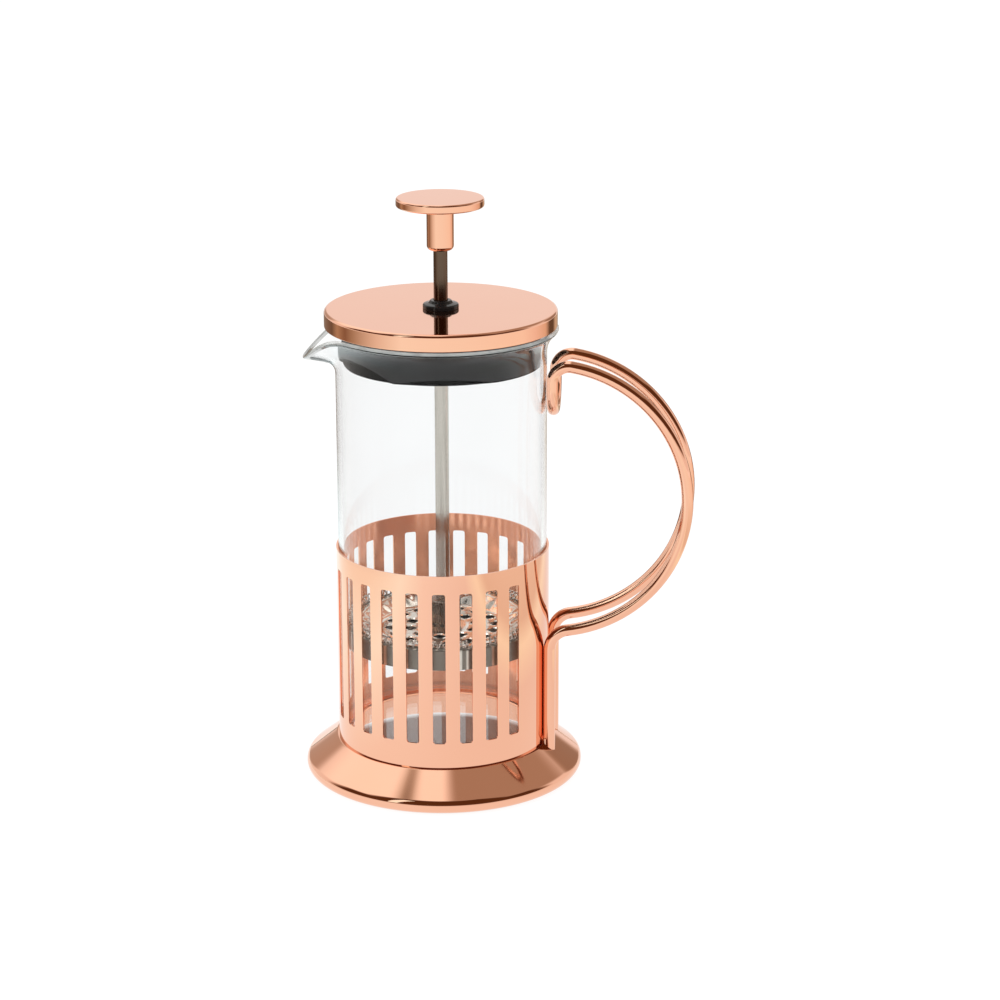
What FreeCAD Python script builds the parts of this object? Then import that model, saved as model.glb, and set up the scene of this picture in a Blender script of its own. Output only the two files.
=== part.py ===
import FreeCAD, Part

import math
import os
import re

import Sketcher

# A small french press: slotted plated sleeve on a flared foot, twin-rod handle, glass beaker,
# flat lid with a plastic collar, and a plunger with its filter.
# Origin: centre of the foot's underside, on the beaker's axis. +Z up, +X towards the handle,
# -X towards the spout. Millimetres.

SHEET = "Sizes"

# alias, value (millimetres, degrees or a count), meaning
SIZES = (
    ("axis_line", 0.0, "the beaker's axis, from which distances are measured"),
    ("ground", 0.0, "the surface that the foot rests on"),
    ("full_turn", 360.0, "angle all the way round"),
    ("sleeve_radius", 36.1, "outside of the slotted sleeve"),
    ("sleeve_sheet", 0.6, "sheet thickness of the sleeve"),
    ("sleeve_top", 79.7, "height of the sleeve's rim"),
    ("ledge_radius", 31.5, "hole through the ledge that carries the beaker"),
    ("slot_bottom", 20.9, "lower end of the slots"),
    ("slot_top", 73.5, "upper end of the slots"),
    ("slot_width", 4.35, "width of one slot"),
    ("slot_corner", 0.8, "corner radius of one slot"),
    ("slot_pitch", 14.4, "angle from slot to slot"),
    ("slot_first", 43.2, "angle from the handle to the nearest slot"),
    ("slot_count", 20, "number of slots"),
    ("skirt_height", 12.15, "top of the flared foot"),
    ("skirt_top", 36.9, "radius where the foot's slope starts"),
    ("skirt_sheet", 0.8, "sheet thickness of the foot"),
    ("skirt_slope", 37.9, "slope of the foot below the horizontal"),
    ("slope_length", 11.94, "length of the foot's slope"),
    ("hem_radius", 2.8, "radius of the rolled hem"),
    ("rod_radius", 2.0, "radius of the handle's rod"),
    ("rod_spacing", 18.0, "distance between the handle's two runs"),
    ("rod_foot", 6.0, "height at which the handle's rods are cut before trimming"),
    ("grip_radius", 46.4, "radius of the handle's loop"),
    ("grip_centre", 36.5, "distance from the axis to the loop's centre"),
    ("grip_height", 98.8, "height of the loop's centre"),
    ("bend_radius", 7.0, "bend where the loop turns down to the foot"),
    ("hook_radius", 5.5, "bend where the loop hooks over beside the beaker"),
    ("hook_distance", 37.7, "distance from the axis to the hook's rods"),
    ("hook_height", 137.0, "height where the hook turns across"),
    ("glass_radius", 35.3, "outside of the beaker"),
    ("glass_wall", 1.7, "wall of the beaker"),
    ("glass_bottom", 12.85, "underside of the beaker"),
    ("glass_floor", 2.3, "floor thickness of the beaker"),
    ("heel_radius", 4.0, "outer rounding of the beaker's heel"),
    ("flare_height", 147.0, "height where the beaker's rim starts to flare"),
    ("flare_radius", 9.3, "radius of the flare, outside"),
    ("flare_angle", 52.0, "turn of the flare"),
    ("spout_root", 30.0, "distance from the axis at which the spout starts"),
    ("spout_reach", 46.4, "distance from the axis to the spout's tip"),
    ("spout_half", 13.0, "half width of the spout at its root"),
    ("spout_low", 140.6, "underside of the spout at its root"),
    ("spout_rim", 155.6, "edge of the spout at its root"),
    ("floor_share", 0.25, "half width of the spout's floor, as a share of its half width"),
    ("cheek_share", 0.72, "half width where the spout's sides steepen, as the same share"),
    ("cheek_rise", 0.4, "height of that place, as a share of the spout's depth"),
    ("lip_half", 2.2, "half width of the spout at its tip"),
    ("lip_low", 143.9, "underside of the spout at its tip"),
    ("lip_rim", 147.4, "edge of the spout at its tip"),
    ("cap_radius", 38.8, "outside of the lid cap"),
    ("cap_bottom", 156.1, "lower edge of the lid cap"),
    ("cap_top", 161.75, "top of the lid cap"),
    ("cap_sheet", 0.8, "sheet thickness of the lid cap"),
    ("cap_edge", 1.1, "rounding of the lid cap's edge"),
    ("collar_radius", 33.1, "outside of the collar"),
    ("collar_wall", 2.1, "wall of the collar"),
    ("collar_bottom", 143.4, "lower edge of the collar"),
    ("collar_flange", 37.8, "radius of the flange that sits on the rim"),
    ("flange_bottom", 156.0, "underside of that flange"),
    ("flange_depth", 1.4, "thickness of that flange"),
    ("collar_plate", 1.6, "thickness of the collar's top plate"),
    ("bush_radius", 6.0, "radius of the guide bush"),
    ("bush_top", 164.5, "top of the guide bush"),
    ("bush_shoulder", 163.26, "height where the bush's dome starts"),
    ("bush_crown", 0.96, "width of the flat around the rod on top of the bush"),
    ("bush_stem", 3.5, "radius of the bush's stem"),
    ("bush_bottom", 155.6, "lower end of the bush's stem"),
    ("bush_play", 0.06, "play of the rod in the bush"),
    ("thread_gap", 0.03, "gap in a screwed or pushed joint"),
    ("plunger_radius", 2.35, "radius of the plunger rod"),
    ("plunger_bottom", 52.4, "lower end of the plunger rod"),
    ("plunger_top", 191.5, "upper end of the plunger rod"),
    ("neck_radius", 4.5, "radius of the knob's neck"),
    ("neck_bottom", 181.3, "lower end of the neck"),
    ("neck_top", 195.9, "upper end of the neck"),
    ("neck_round", 1.6, "rounding of the neck's lower end"),
    ("knob_radius", 14.6, "radius of the knob's disc"),
    ("knob_top", 198.9, "top of the knob"),
    ("knob_edge", 0.7, "rounding of the disc's edges"),
    ("boss_radius", 2.9, "radius of the boss under the disc"),
    ("boss_depth", 3.6, "length of that boss"),
    ("hub_radius", 6.0, "radius of the filter's hub"),
    ("hub_bottom", 50.0, "underside of the hub, on the spring plate"),
    ("hub_top", 61.0, "top of the hub"),
    ("hub_edge", 0.45, "rounding of the hub's top edge"),
    ("hub_bore", 52.2, "floor of the hub's threaded hole"),
    ("spigot_radius", 3.0, "radius of the hub's lower spigot"),
    ("spigot_bottom", 44.9, "lower end of the spigot"),
    ("plate_sheet", 0.5, "sheet thickness of the spring plate"),
    ("plate_radius", 30.2, "radius of the spring plate"),
    ("dish_flat", 22.5, "radius of the flat middle of the filter plates"),
    ("dish_end", 28.5, "radius where the dished part ends"),
    ("dish_rise", 3.4, "rise of the dished part"),
    ("coil_radius", 31.75, "radius of the line through the edge coil"),
    ("coil_section", 1.5, "outer radius of the coil's turns"),
    ("coil_seat", 0.75, "share of that radius by which the coil's middle stands over the plate"),
    ("mesh_sheet", 0.4, "thickness of the woven screen"),
    ("mesh_radius", 32.9, "radius of the woven screen"),
    ("mesh_bottom", 46.0, "lower edge of the screen's turned-down rim"),
    ("cross_sheet", 0.7, "sheet thickness of the cross plate"),
    ("cross_radius", 32.3, "radius of the cross plate"),
    ("cross_bottom", 47.0, "lower edge of the cross plate's rim"),
    ("layer_gap", 0.05, "gap between the filter's layers"),
    ("bend_share", 0.9, "outer rounding of a turned-down rim, as a share of its sheet"),
    ("punch_depth", 5.0, "depth of the cut that makes a plate's holes"),
    ("vent_radius", 2.0, "radius of the spring plate's holes"),
    ("vent_inner", 11.5, "radius of the inner ring of those holes"),
    ("vent_outer", 18.0, "radius of the outer ring of those holes"),
    ("vent_inner_count", 10, "holes in the inner ring"),
    ("vent_outer_count", 16, "holes in the outer ring"),
    ("port_radius", 4.6, "radius of the cross plate's openings"),
    ("port_ring", 15.0, "radius of the ring that they lie on"),
    ("port_count", 8, "number of those openings"),
    ("nut_span", 5.2, "corner radius of the hexagon nuts"),
    ("nut_depth", 3.0, "thickness of the hexagon nuts"),
)

FUNCTIONS = {"sin", "cos", "tan", "sqrt"}

document = FreeCAD.newDocument("french_press")
subparts = []


def make_sheet():
    """Fills the sheet of driving dimensions, one row each."""
    table = document.addObject("Spreadsheet::Sheet", SHEET)
    for row, (alias, number, meaning) in enumerate(SIZES, start=1):
        table.set(f"A{row}", meaning)
        table.set(f"B{row}", str(number))
        table.setAlias(f"B{row}", alias)
    document.recompute()
    return table


sheet = make_sheet()


def bound(formula):
    """The formula with each of its aliases pointed at the sheet."""

    def point(match):
        word = match.group(0)
        return word if word in FUNCTIONS else f"{SHEET}.{word}"

    return re.sub(r"[a-z][a-z_]+", point, formula)


def value(formula):
    """The number that a formula comes to with the sheet as it stands."""
    return float(sheet.evalExpression(bound(formula)))


def new_body(label):
    """An empty body that will be one sub-part."""
    body = document.addObject("PartDesign::Body", label)
    body.Label = label
    body.Placement = FreeCAD.Placement()
    subparts.append(body)
    return body


def origin_feature(body, role):
    """The body's own origin plane or axis with the given role."""
    for feature in body.Origin.OriginFeatures:
        if feature.Role == role:
            return feature
    raise ValueError(role)


def new_sketch(body, name, role, lift=None, turn=None):
    """An empty sketch on an origin plane, lifted along its normal or turned about its own upright."""
    sketch = body.newObject("Sketcher::SketchObject", name)
    sketch.AttachmentSupport = [(origin_feature(body, role), "")]
    sketch.MapMode = "FlatFace"
    if turn:
        rotation = FreeCAD.Rotation(FreeCAD.Vector(0, 1, 0), value(turn))
        sketch.AttachmentOffset = FreeCAD.Placement(FreeCAD.Vector(0, 0, 0), rotation)
        sketch.setExpression(".AttachmentOffset.Rotation.Angle", bound(turn))
    if lift:
        sketch.setExpression(".AttachmentOffset.Base.z", bound(lift))
    return sketch


def pin_point(sketch, geometry, end, across, upright):
    """Fixes one end of a piece of geometry to the sheet."""
    for kind, formula in (("DistanceX", across), ("DistanceY", upright)):
        constraint = Sketcher.Constraint(kind, -1, 1, geometry, end, value(formula))
        index = sketch.addConstraint(constraint)
        sketch.setExpression(f"Constraints[{index}]", bound(formula))


def pin_radius(sketch, geometry, formula):
    """Fixes the radius of an arc or circle to the sheet."""
    index = sketch.addConstraint(Sketcher.Constraint("Radius", geometry, value(formula)))
    sketch.setExpression(f"Constraints[{index}]", bound(formula))


def arc_between(start, end, radius, turn):
    """The shorter arc from start to end, turning left (1) or right (-1)."""
    chord = end - start
    left = FreeCAD.Vector(-chord.y, chord.x, 0).normalize()
    reach = math.sqrt(max(radius**2 - chord.Length**2 / 4, 0))
    centre = (start + end) * 0.5 + left * (turn * reach)
    first, last = (start, end) if turn > 0 else (end, start)
    begin = math.atan2(first.y - centre.y, first.x - centre.x)
    finish = math.atan2(last.y - centre.y, last.x - centre.x)
    if finish < begin:
        finish += 2 * math.pi
    circle = Part.Circle(centre, FreeCAD.Vector(0, 0, 1), radius)
    return Part.ArcOfCircle(circle, begin, finish)


def outline(body, name, role, corners, closed=True, **where):
    """A sketch through the corners, each (across, upright) or (across, upright, radius, turn).

    The run that arrives at a corner is straight, or an arc where the corner states one.
    """
    sketch = new_sketch(body, name, role, **where)
    places = [FreeCAD.Vector(value(corner[0]), value(corner[1]), 0) for corner in corners]
    runs = []
    for number, corner in enumerate(corners):
        if number == 0 and not closed:
            continue
        start = places[number - 1]
        end = places[number]
        if len(corner) == 2:
            runs.append((sketch.addGeometry(Part.LineSegment(start, end)), 1, 2, corner))
            continue
        turn = corner[3]
        arc = sketch.addGeometry(arc_between(start, end, value(corner[2]), turn))
        runs.append((arc, 1, 2, corner) if turn > 0 else (arc, 2, 1, corner))
    for number, (geometry, begin, _, _) in enumerate(runs):
        if number or closed:
            before = runs[number - 1]
            sketch.addConstraint(Sketcher.Constraint("Coincident", before[0], before[2], geometry, begin))
    if not closed:
        pin_point(sketch, runs[0][0], runs[0][1], *corners[0][:2])
    for geometry, _, finish, corner in runs:
        pin_point(sketch, geometry, finish, *corner[:2])
        if len(corner) > 2:
            pin_radius(sketch, geometry, corner[2])
    return sketch


def ring(body, name, role, across, upright, radius, **where):
    """A sketch of one circle."""
    sketch = new_sketch(body, name, role, **where)
    centre = FreeCAD.Vector(value(across), value(upright), 0)
    circle = sketch.addGeometry(Part.Circle(centre, FreeCAD.Vector(0, 0, 1), value(radius)))
    pin_point(sketch, circle, 3, across, upright)
    pin_radius(sketch, circle, radius)
    return sketch


def turned(body, sketch, kind="Revolution", axis="V_Axis", angle=360):
    """Turns a sketch about one of its own axes, as a solid or as a cut."""
    feature = body.newObject(f"PartDesign::{kind}", f"{kind}_{sketch.Name}")
    feature.Profile = (sketch, [""])
    feature.ReferenceAxis = (sketch, [axis])
    feature.Angle = angle
    return feature


def pocket(body, sketch, length, outward=False):
    """Cuts a sketch through the body, against its normal or along it, and checks that it cuts."""
    document.recompute()
    before = body.Shape.Volume
    feature = body.newObject("PartDesign::Pocket", f"Pocket_{sketch.Name}")
    feature.Profile = (sketch, [""])
    feature.setExpression("Length", bound(length))
    feature.Reversed = outward
    document.recompute()
    if feature.Shape.Volume > before - 1e-3:
        raise ValueError(f"{feature.Name} cuts nothing")
    return feature


def around(body, feature, count, angle):
    """Repeats a feature around the body's upright axis, over the given angle."""
    pattern = body.newObject("PartDesign::PolarPattern", f"Around_{feature.Name}")
    pattern.Originals = [feature]
    pattern.Axis = (origin_feature(body, "Z_Axis"), [""])
    pattern.setExpression("Angle", bound(angle))
    pattern.setExpression("Occurrences", bound(count))
    body.Tip = pattern
    return pattern


def round_rings(body, feature, rings, radius):
    """Rounds the feature's round edges at the given (radius, height) places."""
    document.recompute()
    wanted = [(value(across), value(height)) for across, height in rings]
    names = []
    for number, edge in enumerate(feature.Shape.Edges, start=1):
        if not isinstance(edge.Curve, Part.Circle):
            continue
        place = (edge.Curve.Radius, edge.Curve.Center.z)
        if any(math.dist(place, ring_place) < 1e-4 for ring_place in wanted):
            names.append(f"Edge{number}")
    if len(names) < len(rings):
        raise ValueError(f"{body.Label}: {len(names)} of {len(rings)} edges found")
    fillet = body.newObject("PartDesign::Fillet", f"Round_{feature.Name}_{len(body.Group)}")
    fillet.Base = (feature, names)
    fillet.setExpression("Radius", bound(radius))
    return fillet


# --- the frame: sleeve, foot and handle ---------------------------------------------------------


def frame_sleeve():
    """Slotted sleeve with a ledge turned in at its foot, which carries the beaker."""
    body = new_body("frame_sleeve")
    inside = "sleeve_radius - sleeve_sheet"
    wall = outline(body, "SleeveWall", "XZ_Plane", [
        ("ledge_radius", "skirt_height"),
        ("sleeve_radius", "skirt_height"),
        ("sleeve_radius", "sleeve_top"),
        (inside, "sleeve_top"),
        (inside, "skirt_height + sleeve_sheet"),
        ("ledge_radius", "skirt_height + sleeve_sheet"),
    ])
    turned(body, wall)
    half = "slot_width / 2"
    flank = "(slot_width / 2 - slot_corner)"
    low = "slot_bottom + slot_corner"
    high = "slot_top - slot_corner"
    slot = outline(body, "SleeveSlot", "XZ_Plane", [
        (f"-1 * {flank}", "slot_bottom", "slot_corner", 1),
        (flank, "slot_bottom"),
        (half, low, "slot_corner", 1),
        (half, high),
        (flank, "slot_top", "slot_corner", 1),
        (f"-1 * {flank}", "slot_top"),
        (f"-1 * {half}", high, "slot_corner", 1),
        (f"-1 * {half}", low),
    ], turn="90 + slot_first")
    cut = pocket(body, slot, "sleeve_radius + slot_width", outward=True)
    around(body, cut, "slot_count", "slot_pitch * (slot_count - 1)")


SLOPE_ACROSS = "(skirt_top + slope_length * cos(skirt_slope))"
SLOPE_HEIGHT = "(skirt_height - slope_length * sin(skirt_slope))"
HEM_ACROSS = f"({SLOPE_ACROSS} - hem_radius * sin(skirt_slope))"
HEM_HEIGHT = f"({SLOPE_HEIGHT} - hem_radius * cos(skirt_slope))"


def base_skirt():
    """Flared foot: a flat ring under the sleeve, a slope, and a hem rolled round a wire."""
    body = new_body("base_skirt")
    hem_chord = "sqrt(hem_radius^2 - (hem_radius - skirt_sheet)^2)"
    rest_half = f"sqrt(hem_radius^2 - {HEM_HEIGHT}^2)"
    section = outline(body, "SkirtSection", "XZ_Plane", [
        ("ledge_radius", "skirt_height - skirt_sheet"),
        ("skirt_top - skirt_sheet * tan(skirt_slope / 2)", "skirt_height - skirt_sheet"),
        (f"{SLOPE_ACROSS} - skirt_sheet * sin(skirt_slope) - {hem_chord} * cos(skirt_slope)",
         f"{SLOPE_HEIGHT} - skirt_sheet * cos(skirt_slope) + {hem_chord} * sin(skirt_slope)"),
        (f"{HEM_ACROSS} - {rest_half}", "ground", "hem_radius", 1),
        (f"{HEM_ACROSS} + {rest_half}", "ground"),
        (SLOPE_ACROSS, SLOPE_HEIGHT, "hem_radius", 1),
        ("skirt_top", "skirt_height"),
        ("ledge_radius", "skirt_height"),
    ])
    turned(body, section)


def handle_rod():
    """One rod bent into a loop with two runs side by side, hooked over beside the beaker."""
    body = new_body("handle_rod")
    leg = "sqrt((sleeve_radius + rod_radius + layer_gap)^2 - rod_spacing^2 / 4)"
    side = "rod_spacing / 2"
    reach = "(grip_radius + bend_radius)"
    bend_across = f"({leg} + bend_radius)"
    bend_height = f"(grip_height - sqrt({reach}^2 - ({bend_across} - grip_centre)^2))"
    low_share = f"(grip_radius / {reach})"
    inner = "(grip_radius - hook_radius)"
    hook_across = "(hook_distance + hook_radius)"
    hook_centre = f"(grip_height + sqrt({inner}^2 - ({hook_across} - grip_centre)^2))"
    high_share = f"(grip_radius / {inner})"
    path = outline(body, "HandlePath", "XZ_Plane", [
        (leg, "rod_foot"),
        (leg, bend_height),
        (f"grip_centre + ({bend_across} - grip_centre) * {low_share}",
         f"grip_height + ({bend_height} - grip_height) * {low_share}", "bend_radius", -1),
        ("grip_centre + grip_radius", "grip_height", "grip_radius", 1),
        (f"grip_centre + ({hook_across} - grip_centre) * {high_share}",
         f"grip_height + ({hook_centre} - grip_height) * {high_share}", "grip_radius", 1),
        ("hook_distance", hook_centre, "hook_radius", 1),
        ("hook_distance", "hook_height"),
    ], closed=False, lift=f"-1 * {side}")
    section = ring(body, "HandleSection", "XY_Plane", leg, side, "rod_radius", lift="rod_foot")
    document.recompute()
    run = body.newObject("PartDesign::AdditivePipe", "HandleRun")
    run.Profile = (section, [""])
    run.Spine = (path, [f"Edge{number + 1}" for number in range(path.GeometryCount)])
    across = ring(body, "HookSection", "XY_Plane", "hook_distance", side, "rod_radius",
                  lift="hook_height")
    document.recompute()
    hook = turned(body, across, axis="H_Axis", angle=90)
    document.recompute()
    if body.Shape.BoundBox.YMin > -1e-3:
        hook.Reversed = True
    mirror = body.newObject("PartDesign::Mirrored", "HandleTwin")
    mirror.Originals = [run, hook]
    mirror.MirrorPlane = (origin_feature(body, "XZ_Plane"), [""])
    body.Tip = mirror
    slope = "(skirt_top + bend_radius)"
    foot = outline(body, "HandleFoot", "XZ_Plane", [
        ("ledge_radius", "ground"),
        (slope, "ground"),
        (slope, "skirt_height - bend_radius * tan(skirt_slope) + layer_gap"),
        ("skirt_top", "skirt_height + layer_gap"),
        ("ledge_radius", "skirt_height + layer_gap"),
    ])
    turned(body, foot, kind="Groove")


# --- the beaker ---------------------------------------------------------------------------------


def on_flare(radius):
    """The point at the end of the flare, at the given radius from the flare's centre."""
    return (f"glass_radius + flare_radius - {radius} * cos(flare_angle)",
            f"flare_height + {radius} * sin(flare_angle)")


def glass_beaker():
    """Straight glass beaker with a flared rim and a poured spout."""
    body = new_body("glass_beaker")
    inner = "(flare_radius + glass_wall)"
    centre_line = "(flare_radius + glass_wall / 2)"
    crown = (f"glass_radius + flare_radius - {centre_line} * cos(flare_angle)"
             " + glass_wall / 2 * sin(flare_angle)",
             f"flare_height + {centre_line} * sin(flare_angle) + glass_wall / 2 * cos(flare_angle)")
    solid = outline(body, "GlassOutside", "XZ_Plane", [
        ("axis_line", "glass_bottom"),
        ("glass_radius - heel_radius", "glass_bottom"),
        ("glass_radius", "glass_bottom + heel_radius", "heel_radius", 1),
        ("glass_radius", "flare_height"),
        (*on_flare("flare_radius"), "flare_radius", -1),
        (*crown, "glass_wall / 2", 1),
        (*on_flare(inner), "glass_wall / 2", 1),
        ("axis_line", on_flare(inner)[1]),
    ])
    turned(body, solid)
    root = outline(body, "SpoutRoot", "YZ_Plane",
                   channel("spout_half", "spout_low", "spout_rim"), lift="-1 * spout_root")
    tip = outline(body, "SpoutTip", "YZ_Plane",
                  channel("lip_half", "lip_low", "lip_rim"), lift="-1 * spout_reach")
    document.recompute()
    beak = body.newObject("PartDesign::AdditiveLoft", "Spout")
    beak.Profile = (root, [""])
    beak.Sections = [(tip, [""])]
    beak.Ruled = True
    floor = "glass_bottom + glass_floor"
    bore = "glass_radius - glass_wall"
    heel = "(heel_radius - glass_wall)"
    hollow = outline(body, "GlassInside", "XZ_Plane", [
        ("axis_line", floor),
        (f"{bore} - {heel}", floor),
        (bore, f"{floor} + {heel}", heel, 1),
        (bore, "flare_height"),
        (*on_flare(inner), inner, -1),
        (on_flare(inner)[0], f"{on_flare(inner)[1]} + heel_radius"),
        ("axis_line", f"{on_flare(inner)[1]} + heel_radius"),
    ])
    turned(body, hollow, kind="Groove")
    mouth = outline(body, "ChannelRoot", "YZ_Plane",
                    channel("spout_half - glass_wall", "spout_low + glass_wall",
                            "spout_rim + glass_wall"), lift="-1 * spout_root")
    drip = outline(body, "ChannelTip", "YZ_Plane",
                   channel("lip_half - glass_wall / 2", "lip_low + glass_wall",
                           "lip_rim + glass_wall"), lift="-1 * spout_reach")
    document.recompute()
    channel_cut = body.newObject("PartDesign::SubtractiveLoft", "SpoutChannel")
    channel_cut.Profile = (mouth, [""])
    channel_cut.Sections = [(drip, [""])]
    channel_cut.Ruled = True


def channel(half, low, rim):
    """The corners of a spout's section: a rounded vee, open side up."""
    cheek = f"cheek_share * ({half})"
    cheek_height = f"{low} + cheek_rise * ({rim} - ({low}))"
    return [
        (f"-1 * floor_share * ({half})", low),
        (f"floor_share * ({half})", low),
        (cheek, cheek_height),
        (half, rim),
        (f"-1 * ({half})", rim),
        (f"-1 * {cheek}", cheek_height),
    ]


# --- the lid ------------------------------------------------------------------------------------


def lid_cap():
    """Flat plated cap with a short skirt and a hole for the bush."""
    body = new_body("lid_cap")
    hole = "bush_stem + bush_play"
    shell = outline(body, "CapShell", "XZ_Plane", [
        ("cap_radius - cap_sheet", "cap_bottom"),
        ("cap_radius", "cap_bottom"),
        ("cap_radius", "cap_top"),
        (hole, "cap_top"),
        (hole, "cap_top - cap_sheet"),
        ("cap_radius - cap_sheet", "cap_top - cap_sheet"),
    ])
    top = turned(body, shell)
    round_rings(body, top, [("cap_radius", "cap_top")], "cap_edge")


def lid_collar():
    """Plastic insert: a tube inside the beaker's mouth, a flange on its rim and a top plate."""
    body = new_body("lid_collar")
    bore = "collar_radius - collar_wall"
    plate = "cap_top - cap_sheet"
    hole = "bush_stem + bush_play"
    section = outline(body, "CollarSection", "XZ_Plane", [
        (bore, "collar_bottom"),
        ("collar_radius", "collar_bottom"),
        ("collar_radius", "flange_bottom"),
        ("collar_flange", "flange_bottom"),
        ("collar_flange", "flange_bottom + flange_depth"),
        ("collar_radius", "flange_bottom + flange_depth"),
        ("collar_radius", plate),
        (hole, plate),
        (hole, f"{plate} - collar_plate"),
        (bore, f"{plate} - collar_plate"),
    ])
    tube = turned(body, section)
    edges = [("collar_radius", "collar_bottom"), (bore, "collar_bottom")]
    round_rings(body, tube, edges, "collar_wall / 3")


def lid_bushing():
    """Guide bush: a domed button on the cap with a stem through the cap and the collar."""
    body = new_body("lid_bushing")
    bore = "plunger_radius + bush_play"
    section = outline(body, "BushSection", "XZ_Plane", [
        (bore, "bush_bottom"),
        ("bush_stem", "bush_bottom"),
        ("bush_stem", "cap_top"),
        ("bush_radius", "cap_top"),
        ("bush_radius", "bush_shoulder"),
        (f"{bore} + bush_crown", "bush_top"),
        (bore, "bush_top"),
    ])
    turned(body, section)


def hexagon_nut(label, bore, seat):
    """A hexagon nut whose underside is at the given height."""
    blank = document.addObject("Part::Prism", f"{label}_blank")
    blank.Polygon = 6
    blank.setExpression("Circumradius", bound("nut_span"))
    blank.setExpression("Height", bound("nut_depth"))
    drill = document.addObject("Part::Cylinder", f"{label}_drill")
    drill.setExpression("Radius", bound(bore))
    drill.setExpression("Height", bound("nut_depth"))
    nut = document.addObject("Part::Cut", label)
    nut.Base = blank
    nut.Tool = drill
    nut.Label = label
    nut.setExpression("Placement.Base.z", bound(seat))
    subparts.append(nut)


# --- the plunger --------------------------------------------------------------------------------


def plunger_rod():
    """Plain round rod from the knob to the filter, chamfered at both ends."""
    body = new_body("plunger_rod")
    across = ring(body, "RodSection", "XY_Plane", "axis_line", "axis_line",
                  "plunger_radius", lift="plunger_bottom")
    rod = body.newObject("PartDesign::Pad", "RodPad")
    rod.Profile = (across, [""])
    rod.setExpression("Length", bound("plunger_top - plunger_bottom"))
    document.recompute()
    ends = [f"Edge{number}" for number, edge in enumerate(rod.Shape.Edges, start=1)
            if isinstance(edge.Curve, Part.Circle)]
    chamfer = body.newObject("PartDesign::Chamfer", "RodEnds")
    chamfer.Base = (rod, ends)
    chamfer.setExpression("Size", bound("plunger_radius / 5"))


def knob_neck():
    """Round neck between the rod and the disc, bored right through."""
    body = new_body("knob_neck")
    step = "plunger_top + layer_gap"
    section = outline(body, "NeckSection", "XZ_Plane", [
        ("plunger_radius + thread_gap", "neck_bottom"),
        ("neck_radius", "neck_bottom"),
        ("neck_radius", "neck_top"),
        ("boss_radius + thread_gap", "neck_top"),
        ("boss_radius + thread_gap", step),
        ("plunger_radius + thread_gap", step),
    ])
    neck = turned(body, section)
    round_rings(body, neck, [("neck_radius", "neck_bottom")], "neck_round")


def knob_disc():
    """Flat disc that the hand presses, with a boss pushed into the neck."""
    body = new_body("knob_disc")
    section = outline(body, "DiscSection", "XZ_Plane", [
        ("axis_line", "neck_top - boss_depth"),
        ("boss_radius", "neck_top - boss_depth"),
        ("boss_radius", "neck_top"),
        ("knob_radius", "neck_top"),
        ("knob_radius", "knob_top"),
        ("axis_line", "knob_top"),
    ])
    disc = turned(body, section)
    edges = [("knob_radius", "neck_top"), ("knob_radius", "knob_top")]
    round_rings(body, disc, edges, "knob_edge")


# --- the filter ---------------------------------------------------------------------------------


def hub_nut():
    """Round hub screwed on the rod, with a threaded spigot that the plates are stacked on."""
    body = new_body("hub_nut")
    bore = "plunger_radius + thread_gap"
    section = outline(body, "HubSection", "XZ_Plane", [
        ("axis_line", "spigot_bottom"),
        ("spigot_radius", "spigot_bottom"),
        ("spigot_radius", "hub_bottom"),
        ("hub_radius", "hub_bottom"),
        ("hub_radius", "hub_top"),
        (bore, "hub_top"),
        (bore, "hub_bore"),
        ("axis_line", "hub_bore"),
    ])
    hub = turned(body, section)
    round_rings(body, hub, [("hub_radius", "hub_top")], "hub_edge")


def dished(body, name, top, thickness, edge):
    """The section of a dished plate, whose flat middle has its upper side at the given height."""
    under = f"({top} - {thickness})"
    hole = "spigot_radius + thread_gap"
    return outline(body, name, "XZ_Plane", [
        (hole, under),
        ("dish_flat", under),
        ("dish_end", f"{under} + dish_rise"),
        *edge,
        ("dish_end", f"{top} + dish_rise"),
        ("dish_flat", top),
        (hole, top),
    ])


def ring_of_holes(body, name, radius, place, top, count):
    """Round holes on a circle, cut down through a plate."""
    hole = ring(body, name, "XY_Plane", place, "axis_line", radius, lift=top)
    cut = pocket(body, hole, "punch_depth")
    around(body, cut, count, "full_turn")


def spring_plate():
    """Perforated dished plate under the hub, whose rim carries the edge coil."""
    body = new_body("spring_plate")
    top = "hub_bottom"
    rim = f"{top} + dish_rise"
    section = dished(body, "PlateSection", top, "plate_sheet", [
        ("plate_radius", f"{rim} - plate_sheet"),
        ("plate_radius", rim),
    ])
    turned(body, section)
    ring_of_holes(body, "InnerVent", "vent_radius", "vent_inner", f"{top} + layer_gap", "vent_inner_count")
    ring_of_holes(body, "OuterVent", "vent_radius", "vent_outer", f"{top} + layer_gap", "vent_outer_count")


MESH_TOP = "(hub_bottom - plate_sheet - layer_gap)"
CROSS_TOP = f"({MESH_TOP} - mesh_sheet - layer_gap)"


def mesh_screen():
    """Woven screen between the two plates, its rim turned down over the cross plate."""
    body = new_body("mesh_screen")
    rim = f"{MESH_TOP} + dish_rise"
    section = dished(body, "MeshSection", MESH_TOP, "mesh_sheet", [
        ("mesh_radius - mesh_sheet", f"{rim} - mesh_sheet"),
        ("mesh_radius - mesh_sheet", "mesh_bottom"),
        ("mesh_radius", "mesh_bottom"),
        ("mesh_radius", rim),
    ])
    screen = turned(body, section)
    round_rings(body, screen, [("mesh_radius", rim)], "mesh_sheet * bend_share")


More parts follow.
